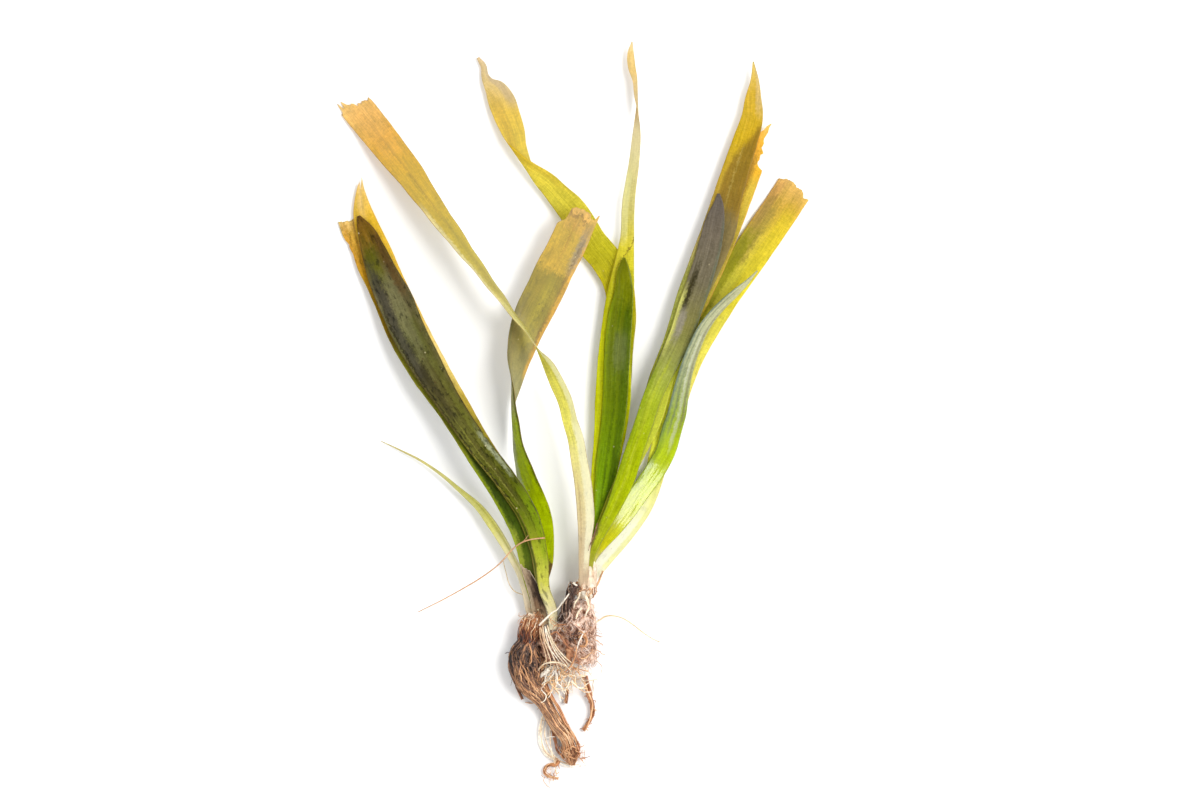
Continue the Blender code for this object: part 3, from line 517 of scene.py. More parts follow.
            (22, 46, 0.3, 1.2, (236, 236, 160), 0.65), (48, 92, -1.2, -0.2, (250, 255, 70), 0.8),
            (122, 136.4, -1.2, -0.5, (206, 162, 100), 0.65), (112, 130, -0.9, -0.1, (172, 150, 80), 0.6),
            (92, 120, -1.2, -0.3, (164, 164, 24), 0.75), (100, 130, 0.2, 1.0, (242, 226, 50), 0.5),
        ],
    },
    "right_silver_leaf": {
        "thin": 0.30, "gloss": 1.0, "blotch": 0.4, "specks": 0.1, "flecks": 0.1, "veins": 0.6,
        "margin": ((104, 122, 92), 0.35, 0.6),
        "down": [
            (17, (236, 236, 200)), (28, (206, 200, 0)), (40, (190, 200, 10)), (56, (180, 200, 0)),
            (68, (146, 166, 30)), (80, (150, 158, 110)), (94, (174, 176, 134)), (111, (190, 188, 144)),
        ],
        "bands": [
            (60, 108, -1.2, -0.72, (92, 112, 96), 0.8), (58, 92, 0.1, 0.42, (206, 208, 184), 0.5),
            (62, 104, -0.4, -0.16, (104, 118, 80), 0.6), (64, 100, 0.55, 0.8, (120, 112, 84), 0.6),
            (44, 66, -1.2, -0.5, (120, 150, 20), 0.5),
        ],
    },
}

# What most leaves have
PLAIN_LOOK = {"gloss": 0.08, "veins": 0.5}

# Textures of a blade: stretch across and along, shift, scale, detail and roughness
LEAF_TEXTURES = {
    "cloud": ((1.0, 0.45, 0.0), 0, 0.45, 4.0, 0.6),
    "grit": ((1.0, 0.7, 0.0), 3, 1.6, 4.0, 0.65),
    "fleck": ((1.0, 0.35, 0.0), 7, 1.1, 3.0, 0.6),
    "broad": ((1.0, 0.03, 0.0), 5, 1.1, 2.0, 0.5),
    "fine": ((1.0, 0.04, 0.0), 9, 3.6, 3.0, 0.5),
    "ladder": ((0.45, 2.2, 0.0), 11, 1.3, 2.0, 0.5),
}
CLOUD_WARP = 12.0
GRIT_WARP = 5.0
GRIT_SWAY = 0.55
SPECK_SCALE = 0.55
PALE_SPECK = (228, 214, 170)
DARK_SPECK = (86, 56, 34)
LEAF_BACK = (206, 202, 166)
LEAF_BUMP = 0.00018
ROOT_BUMP = 0.00010

# Root skins: how thin, roughness, scale and strength of the patches, and the colours that strands pick from
SKINS = {
    "root_left": (0.0, 0.6, 260.0, 0.6, [
        (24, 17, 15), (54, 38, 31), (98, 70, 56), (146, 104, 78), (192, 138, 94), (222, 172, 124),
        (238, 204, 164),
    ]),
    "root_dark": (0.0, 0.6, 700.0, 1.2, [(28, 17, 13), (58, 37, 29), (98, 67, 52), (180, 150, 126)]),
    "root_brown": (0.0, 0.6, 260.0, 0.9, [(104, 64, 42), (150, 98, 64), (186, 134, 94), (210, 168, 128)]),
    "root_bundle": (0.0, 0.6, 260.0, 0.9, [(96, 52, 31), (154, 95, 58), (198, 140, 94), (228, 186, 142)]),
    "root_curl": (0.0, 0.6, 260.0, 0.9, [(124, 68, 34), (180, 116, 68), (218, 164, 112), (240, 206, 160)]),
    "root_orange": (0.0, 0.6, 500.0, 1.3, [(96, 52, 30), (158, 94, 52), (204, 144, 92), (230, 186, 140)]),
    "root_flake": (0.1, 0.5, 700.0, 1.2, [(84, 46, 28), (130, 78, 48), (170, 114, 74), (206, 158, 116)]),
    "root_felt": (0.0, 0.8, 620.0, 1.8, [
        (34, 20, 16), (82, 50, 36), (136, 92, 70), (188, 146, 120), (226, 200, 182),
    ]),
    "root_fuzz": (0.4, 0.6, 260.0, 0.9, [
        (180, 130, 104), (228, 200, 182), (246, 234, 226), (254, 248, 244),
    ]),
    "root_net": (0.15, 0.6, 260.0, 0.9, [
        (246, 190, 130), (255, 224, 180), (255, 247, 228), (255, 253, 247),
    ]),
    "root_collar": (0.35, 0.4, 260.0, 0.9, [
        (150, 84, 46), (196, 130, 82), (230, 184, 136), (248, 228, 200),
    ]),
    "root_cream": (0.25, 0.45, 260.0, 0.9, [
        (206, 164, 122), (242, 218, 182), (252, 240, 216), (254, 248, 236),
    ]),
    "root_white": (0.3, 0.4, 260.0, 0.9, [(240, 226, 204), (252, 244, 230), (254, 250, 242)]),
    "root_straw": (0.2, 0.5, 260.0, 0.9, [(190, 138, 94), (210, 162, 116), (226, 188, 144)]),
    "root_pale_straw": (0.3, 0.5, 260.0, 0.9, [(214, 190, 144), (226, 204, 162), (236, 218, 182)]),
    "crown_knob": (0.0, 0.5, 420.0, 1.1, [
        (34, 17, 11), (84, 40, 21), (146, 78, 40), (200, 128, 74), (240, 206, 160), (250, 238, 216),
    ]),
    "crown_sheath": (0.35, 0.4, 260.0, 0.9, [
        (206, 164, 128), (238, 214, 184), (252, 242, 222), (254, 250, 238),
    ]),
}

# How far a strand's pick of colour moves with y, as pairs of y and shift
LEFT_TONES = ((-38, 0.78), (-24, 0.43), (-15, 0.37), (-9, 0.20), (-3, 0.06), (2, 0.03))
CROWN_TONES = ((-1.5, -0.2), (0.8, -0.08), (2.6, 0.08), (4.4, 0.18), (6.0, 0.46), (7.4, 0.9))

# Crowns, clumps and cords of roots: x, y and z of the middle, half width and half height
CLUMPS = {
    "left_crown": [
        (-7.4, 7.9, 4.1, 2.6, 1.9), (-8.0, 5.8, 4.5, 3.2, 3.0), (-8.7, 3.2, 4.6, 3.3, 3.8),
        (-9.1, 0.4, 4.7, 3.4, 4.6), (-9.3, -2.2, 4.7, 4.2, 5.0),
    ],
    "right_crown": [
        (9.0, 24.4, 5.0, 1.9, 2.2), (8.7, 21, 5.1, 2.5, 3.2), (8.1, 17.6, 5.2, 3.1, 3.8),
        (7.4, 15, 5.1, 3.5, 4.1), (6.5, 12.4, 5.0, 3.7, 4.2),
    ],
    "left_root_clump": [
        (-8.2, 2.6, 4.5, 3.6, 4.6), (-9.15, -0.6, 4.6, 4.1, 5.0), (-10.2, -4.5, 4.5, 5.0, 5.2),
        (-9.9, -8.4, 4.2, 4.9, 4.9), (-9.15, -12, 3.6, 4.5, 4.2), (-7.5, -15.4, 2.8, 3.2, 3.2),
    ],
    "left_body": [
        (-8.2, 2.6, 4.5, 3.6, 4.6), (-9.15, -0.6, 4.6, 4.1, 5.0), (-10.2, -4.5, 4.5, 5.0, 5.2),
        (-9.9, -8.4, 4.2, 4.9, 4.9), (-9.0, -12, 3.6, 4.2, 4.2), (-6.9, -15.4, 2.8, 3.0, 3.2),
        (-4.9, -18.2, 2.5, 2.1, 2.3), (-3.4, -21, 2.3, 1.9, 2.1), (-1.2, -25, 2.2, 2.0, 2.1),
        (2.5, -30, 2.1, 2.1, 2.0), (3.4, -34, 1.8, 2.8, 1.7), (4.0, -37.6, 1.3, 1.8, 1.2),
    ],
    "right_root_clump": [
        (5.7, 12.4, 4.9, 4.2, 4.4), (5.7, 9, 4.9, 5.0, 5.2), (5.5, 4.5, 4.9, 5.6, 5.5),
        (4.2, 0, 4.7, 6.9, 5.3), (3.9, -4.5, 4.3, 7.3, 4.9), (3.3, -8.4, 3.6, 6.9, 4.0),
        (2.7, -11.4, 2.6, 5.7, 2.9), (2.4, -13.8, 2.0, 4.2, 2.2),
    ],
    "root_stub": [(2.3, -14.4, 1.5, 1.0, 1.1), (2.0, -16.8, 1.3, 0.9, 1.0), (1.5, -18.9, 1.1, 0.7, 0.8)],
    "flake": [
        (1.4, 0.6, 10.0, 0.7, 0.3), (2.4, -2.0, 10.3, 1.3, 0.4), (3.2, -4.6, 9.9, 1.1, 0.4),
        (3.0, -6.6, 8.8, 0.4, 0.3),
    ],
    "fan_bed": [
        (-5.2, 2.4, 5.4, 1.2, 2.4), (-4.2, -2.0, 5.6, 2.0, 2.4), (-2.6, -5.0, 5.0, 2.6, 2.2),
        (-1.6, -7.4, 4.2, 2.2, 1.4),
    ],
}

# The lines that the fan between the clumps is laid out from and to
FAN_LEFT = [(-6.3, 4.2, 8.8), (-5.8, 0.6, 10.0), (-4.7, -3.6, 10.0), (-4.3, -6.6, 8.8), (-4.8, -9.0, 7.4)]
FAN_RIGHT = [(-3.2, 4.6, 8.8), (-2.4, 1.4, 10.2), (-0.7, -2.0, 10.7), (2.0, -4.8, 10.6), (5.2, -6.9, 9.6)]

# Nets of fine roots: how many, the middle and the spread of their starts, joints, length, headings, curl,
# radius, skin and sides
NETS = {
    "root_net": (
        64, (-0.8, -8.6, 5.6), (3.0, 2.0, 1.0), 18, (4, 9), (205, 360), 1.6, (0.11, 0.22), "root_net", 5,
    ),
    "root_lower_net": (
        28, (4.2, -10.0, 2.0), (3.0, 2.0, 0.8), 18, (4, 9), (200, 340), 1.5, (0.10, 0.19), "root_net", 5,
    ),
    "root_orange_net": (
        14, (0, -6.6, 6.8), (3.0, 0.9, 1.0), 16, (3, 7), (170, 370), 1.6, (0.08, 0.17), "root_curl", 5,
    ),
    "root_curl_ends": (
        16, (-2.8, -40.2, 1.3), (1.3, 0.9, 0.3), 10, (0.8, 2.4), (0, 360), 1.8, (0.05, 0.13), "root_curl", 4,
    ),
}

# Roots by themselves: their skin, how many strands, how far these spread, their radius, and the points
# that they pass through. The first nine are the solids' own.
THREADS = {
    "left_stray_root": ("root_straw", 1, 0.05, (0.21, 0.22), [
        (-4.5, 30.9, 12.6), (-8.4, 30.5, 13.2), (-10.5, 30, 13.1), (-12.6, 28.8, 12.2), (-18, 23.1, 8.6),
        (-24, 18.6, 5.6), (-30, 15, 3.4), (-36, 11.7, 1.6), (-42.6, 8.4, 0.4),
    ]),
    "left_fine_root": ("root_pale_straw", 1, 0.05, (0.14, 0.15), [
        (-11.2, 13.8, 3.4), (-13.5, 14.7, 3.0), (-15.3, 17.1, 2.6), (-16.2, 20.4, 2.4), (-17.1, 24, 2.4),
    ]),
    "bridging_root": ("root_white", 1, 0.05, (0.27, 0.29), [
        (-6.2, 4.7, 9.2), (-5.3, 5.7, 9.4), (-3.9, 7.0, 9.3), (-2.4, 8.5, 9.3), (-0.9, 9.3, 9.4),
        (0.2, 10.8, 9.8), (1.7, 12.7, 10.2), (2.8, 14.2, 10.2),
    ]),
    "right_stray_root": ("root_pale_straw", 1, 0.05, (0.21, 0.22), [
        (10.6, 5.4, 4.8), (12.1, 6.3, 4.6), (13.5, 7.2, 4.4), (17.4, 7.2, 3.6), (21, 5.4, 2.6),
        (24, 3, 1.7), (27, 0.9, 0.9), (30, -0.6, 0.4),
    ]),
    "right_loop_root": ("root_bundle", 9, 0.62, (0.20, 0.38), [
        (7.2, -10.9, 3.4), (8.1, -13.9, 2.4), (8.5, -15.6, 1.9), (9.6, -19.5, 1.4), (9.6, -22.5, 1.2),
        (8.4, -25.2, 1.0), (6.9, -27, 0.9),
    ]),
    "white_outer_root": ("root_cream", 3, 0.55, (0.15, 0.23), [
        (-4.2, -21.0, 1.4), (-5.4, -24.4, 1.0), (-6.1, -28.2, 0.8), (-5.6, -31.6, 0.7), (-4.0, -34.4, 0.6),
        (-1.2, -36.0, 0.6), (1.8, -37.5, 0.6), (4.6, -38.0, 0.5),
    ]),
    "white_inner_root": ("root_cream", 2, 0.4, (0.14, 0.2), [
        (-2.6, -25.0, 1.8), (-2.8, -27.6, 1.6), (-2.6, -31.5, 1.7), (-1.9, -34.5, 1.9), (-1.2, -37.4, 1.6),
        (-0.9, -40.6, 0.9),
    ]),
    "tail_root": ("root_straw", 1, 0.05, (0.11, 0.12), [
        (-4.6, -41.2, 1.0), (-4.9, -41.9, 0.6), (-4.2, -43.2, 0.4), (-3, -44.4, 0.3),
    ]),
    "root_curl": ("root_curl", 13, 0.62, (0.05, 0.2), [
        (-0.6, -36.0, 1.2), (-1.2, -37.3, 1.5), (-2.6, -37.2, 1.5), (-4.1, -37.6, 1.3), (-4.9, -38.9, 1.2),
        (-4.6, -40.1, 1.1), (-3.2, -40.9, 1.1), (-1.8, -41.2, 1.0), (-0.4, -41.6, 0.9),
    ]),
    "stray_root_branch": ("root_straw", 1, 0.05, (0.10, 0.11), [
        (-10.8, 29.9, 13.1), (-10.0, 30.9, 13.3), (-9.4, 31.7, 13.4),
    ]),
    "left_spur": ("root_brown", 6, 0.5, (0.12, 0.28), [
        (-12.6, -11.6, 2.0), (-12.4, -14.6, 1.2), (-11.0, -17.6, 0.6),
    ]),
    "left_loose_fibre": ("root_brown", 2, 0.12, (0.10, 0.13), [
        (-10.4, -18.7, 0.3), (-8.4, -18.9, 0.35), (-6.4, -18.0, 0.9),
    ]),
    "bundle_side_cord": ("root_bundle", 9, 0.62, (0.16, 0.32), [
        (-4.6, -12.8, 4.8), (-1.8, -18.0, 3.6), (0.6, -21.6, 3.2), (2.1, -25.0, 2.8), (4.2, -28.2, 2.4),
        (5.7, -31.4, 2.0),
    ]),
    "bundle_loop": ("root_bundle", 8, 0.5, (0.10, 0.24), [
        (-3.4, -22.4, 2.4), (-2.3, -26.4, 1.9), (-1.6, -30.0, 1.6), (-0.6, -33.2, 1.4), (1.6, -35.2, 1.3),
    ]),
    "curl_link": ("root_brown", 2, 0.2, (0.12, 0.18), [
        (-1.0, -35.4, 1.2), (-0.6, -37.2, 1.0), (-0.2, -38.6, 0.7),
    ]),
    "clump_white_root": ("root_white", 1, 0.05, (0.19, 0.21), [
        (7.3, 3.0, 10.5), (6.5, 1.4, 10.8), (5.7, -0.2, 10.9), (5.2, -2.2, 10.9),
    ]),
    "clump_tan_root": ("root_curl", 2, 0.16, (0.15, 0.2), [
        (5.1, -1.8, 10.9), (4.6, -4.6, 10.5), (3.2, -7.6, 9.2), (1.4, -9.4, 7.8),
    ]),
    "right_brown_thread": ("root_felt", 2, 0.12, (0.09, 0.14), [
        (11.2, 35.2, 8.1), (10.6, 33.0, 8.2), (9.8, 30.6, 8.9), (9.0, 28.6, 9.7), (8.6, 27.0, 9.8),
    ]),
    "clump_brown_arc": ("root_bundle", 2, 0.25, (0.10, 0.16), [
        (-2.7, 1.8, 9.8), (-1.2, 2.8, 10.3), (0.4, 1.2, 10.6), (2.0, -1.4, 10.8), (4.2, -3.4, 10.6),
        (5.6, -6.2, 9.6), (5.4, -9.6, 7.4),
    ]),
    "clump_ring": ("root_orange", 5, 0.35, (0.10, 0.22), [
        (5.6, 1.0, 9.7), (6.6, 1.6, 9.9), (7.9, 0.8, 9.8), (8.1, -0.6, 9.6), (7.2, -1.8, 9.6),
        (6.0, -1.6, 9.7),
    ]),
    "pale_cut_root": ("root_white", 2, 0.35, (0.5, 0.6), [
        (-3.6, -8.4, 8.2), (-4.8, -9.6, 7.6), (-5.8, -10.8, 7.0),
    ]),
    "dark_stump": ("root_dark", 46, 1.5, (0.08, 0.26), [
        (4.6, 17.2, 8.0), (3.4, 14.2, 8.2), (2.2, 10.6, 8.0), (0.8, 5.6, 7.2),
    ]),
    "stump_white_bit": ("root_white", 2, 0.15, (0.26, 0.34), [
        (4.0, 17.4, 9.9), (4.6, 16.9, 10.0), (5.2, 16.6, 9.9),
    ]),
    "crown_white_root": ("root_cream", 1, 0.05, (0.24, 0.27), [
        (6.0, 14.6, 9.9), (5.5, 12.9, 10.3), (4.6, 11.6, 10.4), (4.1, 9.8, 10.4),
    ]),
    "crown_cream_root": ("root_cream", 2, 0.25, (0.22, 0.3), [
        (7.8, 13.6, 9.8), (8.6, 10.4, 10.0), (7.6, 7.4, 10.6),
    ]),
    "crown_short_root": ("root_cream", 1, 0.05, (0.30, 0.34), [
        (6.6, 10.0, 10.5), (5.4, 8.4, 10.7), (4.8, 6.6, 10.7),
    ]),
    "crown_membrane": ("root_straw", 6, 0.36, (0.07, 0.16), [
        (12.8, 20.8, 3.6), (11.4, 17.4, 4.4), (9.8, 14.6, 5.4), (8.8, 12.0, 6.4), (8.6, 9.0, 6.8),
    ]),
    "fan_cross": ("root_cream", 3, 0.5, (0.13, 0.2), [
        (-7.2, -8.8, 7.6), (-5.0, -6.6, 9.2), (-2.0, -6.0, 10.2), (1.2, -6.9, 10.0), (3.4, -8.6, 9.0),
    ]),
    "loop_wrap": ("root_white", 3, 0.25, (0.12, 0.16), [
        (7.2, -15.4, 3.0), (8.2, -15.6, 3.3), (9.4, -15.5, 2.8),
    ]),
    "white_third_root": ("root_cream", 2, 0.4, (0.10, 0.15), [
        (-3.4, -23.0, 1.6), (-4.5, -27.0, 1.2), (-3.9, -30.8, 1.0), (-2.4, -33.8, 0.9), (0.0, -36.0, 0.8),
    ]),
    "white_cross_root": ("root_white", 1, 0.05, (0.14, 0.16), [
        (-4.6, -29.6, 1.3), (-2.8, -28.9, 2.2), (-1.4, -28.9, 2.4),
    ]),
}


def read_curve(stations, share):
    """The stations' values at shares (0 to 1) of the length, on a smooth curve through every station."""
    values = np.array(stations, float)
    flat = values[:, :2]
    knots = np.concatenate([[0.0], np.cumsum(np.linalg.norm(np.diff(flat, axis=0), axis=1))])
    slopes = np.gradient(values, knots, axis=0)
    at = np.clip(share, 0.0, 1.0) * knots[-1]
    left = np.clip(np.searchsorted(knots, at, side="right") - 1, 0, len(knots) - 2)
    gap = (knots[left + 1] - knots[left])[..., None]
    t = (at - knots[left])[..., None] / gap
    return (
        values[left] * (2 * t**3 - 3 * t**2 + 1)
        + slopes[left] * gap * (t**3 - 2 * t**2 + t)
        + values[left + 1] * (3 * t**2 - 2 * t**3)
        + slopes[left + 1] * gap * (t**3 - t**2)
    )


def curve_length(stations):
    flat = np.array([station[:2] for station in stations], float)
    return float(np.linalg.norm(np.diff(flat, axis=0), axis=1).sum())


def unit(vectors):
    return vectors / np.maximum(np.linalg.norm(vectors, axis=-1, keepdims=True), 1e-9)


def heading(stations, share, reach):
    """Which way a curve runs, from its values a reach before and after the share."""
    return read_curve(stations, share + reach)[..., :3] - read_curve(stations, share - reach)[..., :3]


def level_right(forward):
    """The level direction to the right of a heading."""
    return unit(np.stack([forward[..., 1], -forward[..., 0], np.zeros_like(forward[..., 0])], -1))


def arch_height(arch, y):
    """The height of an arch over y, with its corners rounded off."""
    places, heights = zip(*ARCHES[arch])
    rounding = (-3.0, -1.5, 0.0, 1.5, 3.0)
    return np.mean([np.interp(y + shift, places, heights) for shift in rounding], axis=0)


def uneven(random, at, *layers):
    """A wandering value: layers of a spacing that it changes over and a weight, mostly between -1 and 1."""
    low, high = float(np.min(at)), float(np.max(at))
    total = 0
    for spacing, weight in layers:
        count = max(3, int((high - low) / spacing) + 2)
        total = total + weight * np.interp(at, np.linspace(low, high, count), random.uniform(-1, 1, count))
    return total


def uneven_rows(random, count, at, *layers):
    return np.array([uneven(random, at, *layers) for _ in range(count)])


def blend_in(value, start, end):
    """0 before start, 1 after end, and smooth between."""
    t = np.clip((value - start) / (end - start), 0, 1)
    return t * t * (3 - 2 * t)


def leaf_surface(leaf, share, across):
    """Points of a leaf's middle sheet over level ground, the way that its upper side faces, y and width."""
    stations = [station + (0, CURL)[len(station) - 3:] for station in leaf["stations"]]
    x, y, width, roll, curl = np.moveaxis(read_curve(stations, share), -1, 0)
    level = level_right(heading(stations, share, LEAF_REACH))
    width = np.maximum(width, NARROWEST)
    start = np.radians(roll)
    turn = np.radians(curl)
    turn = np.where(np.abs(turn) < LEAST_TURN, LEAST_TURN, turn)
    end = start + turn * across
    outward = (np.sin(end) - np.sin(start)) / turn * width / 2
    upward = (np.cos(start) - np.cos(end)) / turn * width / 2
    place = np.stack([x, y, np.zeros_like(x)], -1) + level * outward[..., None] + UP * upward[..., None]
    facing = UP * np.cos(end)[..., None] - level * np.sin(end)[..., None]
    return place, facing, y, width


def fold_under(fold, points):
    """Bends what lies past a fold line round the line, to lie underneath."""
    (x, y), (forward_x, forward_y), radius = fold
    outward = np.array([-forward_y, forward_x, 0.0])
    offset = points - np.array([x, y, 0.0])
    past = offset @ outward
    past = np.where(past > 0, past * blend_in(offset @ np.array([forward_x, forward_y, 0.0]), 0, 2), past)
    height = points[..., 2]
    angle = np.clip(past / radius, 0, np.pi)
    beyond = np.maximum(past - np.pi * radius, 0)
    shift = np.where(past < 0, past, (radius + height) * np.sin(angle) - beyond) - past
    lift = -radius * (1 - np.cos(angle)) + height * np.cos(angle) - height
    return points + outward * shift[..., None] + UP * lift[..., None]


def put_in_scene(name, data):
    thing = bpy.data.objects.new(name, data)
    bpy.context.scene.collection.objects.link(thing)
    return thing


def add_mesh(name, points, faces, material, attributes):
    """A smooth mesh object from points in station millimetres, with a vector attribute for each name."""
    mesh = bpy.data.meshes.new(name)
    mesh.from_pydata((points - REST_POINT) * MM, [], faces)
    for key, values in attributes.items():
        layer = mesh.attributes.new(key, "FLOAT_VECTOR", "POINT")
        layer.data.foreach_set("vector", np.ascontiguousarray(values, np.float32).ravel())
    mesh.shade_smooth()
    mesh.materials.append(bpy.data.materials[material])
    return put_in_scene(name, mesh)


def add_piece(name, points, faces, material, attributes, replaced):
    """A mesh that is part of the plant, in place of some of the CAD's nodes."""
    thing = add_mesh(name, points, faces, material, attributes)
    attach(thing, "root")
    for node in replaced:
        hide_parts(node)


def shell_faces(rows, columns):
    """Quads of a closed shell of two grids, one on the other, joined round their edge."""
    index = np.arange(rows * columns).reshape(rows, columns)
    top = np.stack([index[:-1, :-1], index[:-1, 1:], index[1:, 1:], index[1:, :-1]], -1).reshape(-1, 4)
    under = top[:, ::-1] + rows * columns
    ring = np.concatenate([index[0, :-1], index[:-1, -1], index[-1, :0:-1], index[:0:-1, 0]])
    following = np.roll(ring, -1)
    side = np.stack([following, ring, ring + rows * columns, following + rows * columns], -1)
    return np.concatenate([top, under, side]).tolist()


def make_leaf(number, node, leaf):
    """A blade: a fine closed shell with ragged ends, rippled edges and a midrib, in place of a CAD leaf."""
    random = np.random.default_rng(number)
    length = curve_length(leaf["stations"])
    widest = max(station[2] for station in leaf["stations"])
    rows = int(length / ROW_SPACING) + 2
    columns = int(widest / COLUMN_SPACING) + 4
    across_line = np.linspace(-1, 1, columns)
    short = np.zeros(columns)
    if "torn" in leaf:
        short = np.interp(across_line, *zip(*leaf["torn"]))
        short = short + TORN_DEPTH * leaf["jag"] * uneven(random, across_line, *TORN_ROUGHNESS)
        short = short - short.min()
    row_line = np.linspace(0, 1, rows)
    share = row_line[:, None] * (1 - short[None, :] / length)
    across = np.broadcast_to(across_line, share.shape).copy()
    along = share * length
    for side in (-1, 1):
        edge = uneven(random, along[:, 0], *EDGE_ROUGHNESS)
        across += np.where(across_line * side > 0, side * np.abs(across_line), 0)[None, :] * edge[:, None]
    if "bitten" in leaf:
        side, profile = leaf["bitten"]
        limit = np.interp(length - along, *zip(*profile))
        across = side * ((side * across + 1) * (limit + 1) / 2 - 1)
    place, facing, y, width = leaf_surface(leaf, share, across)
    height, ripple = leaf["wave"]
    fade = blend_in(along, *RIPPLED_LENGTH) * blend_in(width, *RIPPLED_WIDTH)
    swell = np.sin(2 * np.pi * along / ripple + number) * (0.6 + 0.4 * across)
    swell = swell + 0.5 * np.sin(along * 0.9 / 1.7)
    distance = width / 2 * across
    relief = height * fade * swell * across**2
    relief -= MIDRIB_DEPTH * blend_in(width, *VEINED_WIDTH) * np.exp(-((distance / MIDRIB_WIDTH) ** 2))
    relief += VEIN_HEIGHT * blend_in(width, *VEINED_WIDTH) * np.cos(2 * np.pi * distance / VEIN_SPACING)
    place = place + facing * relief[..., None]
    inset = np.minimum(width / 2 - np.abs(distance), (1 - row_line)[:, None] * length)
    inset = np.maximum(inset, 0)
    half = EDGE_HALF_THICKNESS + (HALF_THICKNESS - EDGE_HALF_THICKNESS) * blend_in(inset, 0, RIM_WIDTH)
    top = place + facing * half[..., None]
    under = place - facing * half[..., None]
    points = np.concatenate([top.reshape(-1, 3), under.reshape(-1, 3)])
    if "fold" in leaf:
        points = fold_under(leaf["fold"], points)
        y = points[: y.size, 1].reshape(y.shape)
    points[:, 2] += arch_height(leaf["arch"], points[:, 1]) + leaf["layer"] * LAYER_PITCH
    points[:, 2] = np.maximum(points[:, 2], FLOOR_GAP)
    blade = np.stack([distance, along, inset], -1).reshape(-1, 3)
    spots = np.stack([y, across, np.ones_like(y)], -1).reshape(-1, 3)
    backs = spots * (1, 1, -1)
    attributes = {"blade": np.concatenate([blade, blade]), "spot": np.concatenate([spots, backs])}
    add_piece(node + "_blade", points, shell_faces(rows, columns), node, attributes, (node,))


def linear(colour):
    """An sRGB colour, 0 to 255, as linear light."""
    share = np.array(colour, float) / 255
    return tuple(np.where(share <= 0.04045, share / 12.92, ((share + 0.055) / 1.055) ** 2.4).tolist())


class Painter:
    """Puts a material's nodes together with short calls. Each call gives the socket that it made."""

    def __init__(self, name):
        material = bpy.data.materials.new(name)
        material.use_nodes = True
        self.tree = material.node_tree
        self.tree.nodes.clear()

    def node(self, kind, sockets, output=0, **settings):
        made = self.tree.nodes.new(kind)
        for key, value in settings.items():
            setattr(made, key, value)
        for key, value in sockets.items():
            socket = made.inputs[key]
            if isinstance(value, bpy.types.NodeSocket):
                self.tree.links.new(value, socket)
            elif socket.type == "RGBA":
                socket.default_value = (*value, 1.0)
            else:
                socket.default_value = value
        return made.outputs[output]

    def plus(self, one, two):
        return self.node("ShaderNodeMath", {0: one, 1: two}, operation="ADD")

    def minus(self, one, two):
        return self.node("ShaderNodeMath", {0: one, 1: two}, operation="SUBTRACT")

    def times(self, one, two):
        return self.node("ShaderNodeMath", {0: one, 1: two}, operation="MULTIPLY")

    def attribute(self, name):
        return self.node("ShaderNodeAttribute", {}, "Vector", attribute_name=name)

    def place(self):
        return self.node("ShaderNodeNewGeometry", {}, "Position")

    def split(self, vector):
        return tuple(self.node("ShaderNodeSeparateXYZ", {0: vector}).node.outputs)

    def stretch(self, vector, scale, shift):
        sockets = {0: vector, 1: scale, 2: (shift, shift, shift)}
        return self.node("ShaderNodeVectorMath", sockets, operation="MULTIPLY_ADD")

    def noise(self, vector, scale, detail, roughness):
        sockets = {"Vector": vector, "Scale": scale, "Detail": detail, "Roughness": roughness}
        return self.node("ShaderNodeTexNoise", sockets)

    def step(self, value, start, end, low=0.0, high=1.0):
        """Low up to start, high from end on, and smooth between."""
        sockets = {"Value": value, "From Min": start, "From Max": end, "To Min": low, "To Max": high}
        return self.node("ShaderNodeMapRange", sockets, interpolation_type="SMOOTHSTEP")

    def mix(self, factor, one, two):
        return self.node("ShaderNodeMix", {0: factor, 6: one, 7: two}, 2, data_type="RGBA")

    def scaled(self, colour, factor):
        return self.node("ShaderNodeVectorMath", {"Vector": colour, "Scale": factor}, operation="SCALE")

    def ramp(self, value, stops):
        """Colours at values, blended between."""
        low, high = stops[0][0], stops[-1][0]
        sockets = {"Value": value, "From Min": float(low), "From Max": float(high)}
        share = self.node("ShaderNodeMapRange", sockets)
        colour = self.node("ShaderNodeValToRGB", {0: share})
        elements = colour.node.color_ramp.elements
        while len(elements) < len(stops):
            elements.new(0.5)
        for element, (at, shade) in zip(elements, stops):
            element.position = (at - low) / (high - low)
            element.color = (*linear(shade), 1.0)
        return colour

    def bump(self, height, strength, distance):
        return self.node("ShaderNodeBump", {"Height": height, "Strength": strength, "Distance": distance})

    def finish(self, sockets, thin=0.0, glow_colour=None):
        """The surface, with light coming through where it is thin."""
        surface = self.node("ShaderNodeBsdfPrincipled", sockets)
        if thin:
            glow = {"Color": glow_colour, "Normal": sockets["Normal"]}
            glow = self.node("ShaderNodeBsdfTranslucent", glow)
            surface = self.node("ShaderNodeMixShader", {0: thin, 1: surface, 2: glow})
        output = self.tree.nodes.new("ShaderNodeOutputMaterial")
        self.tree.links.new(surface, output.inputs["Surface"])


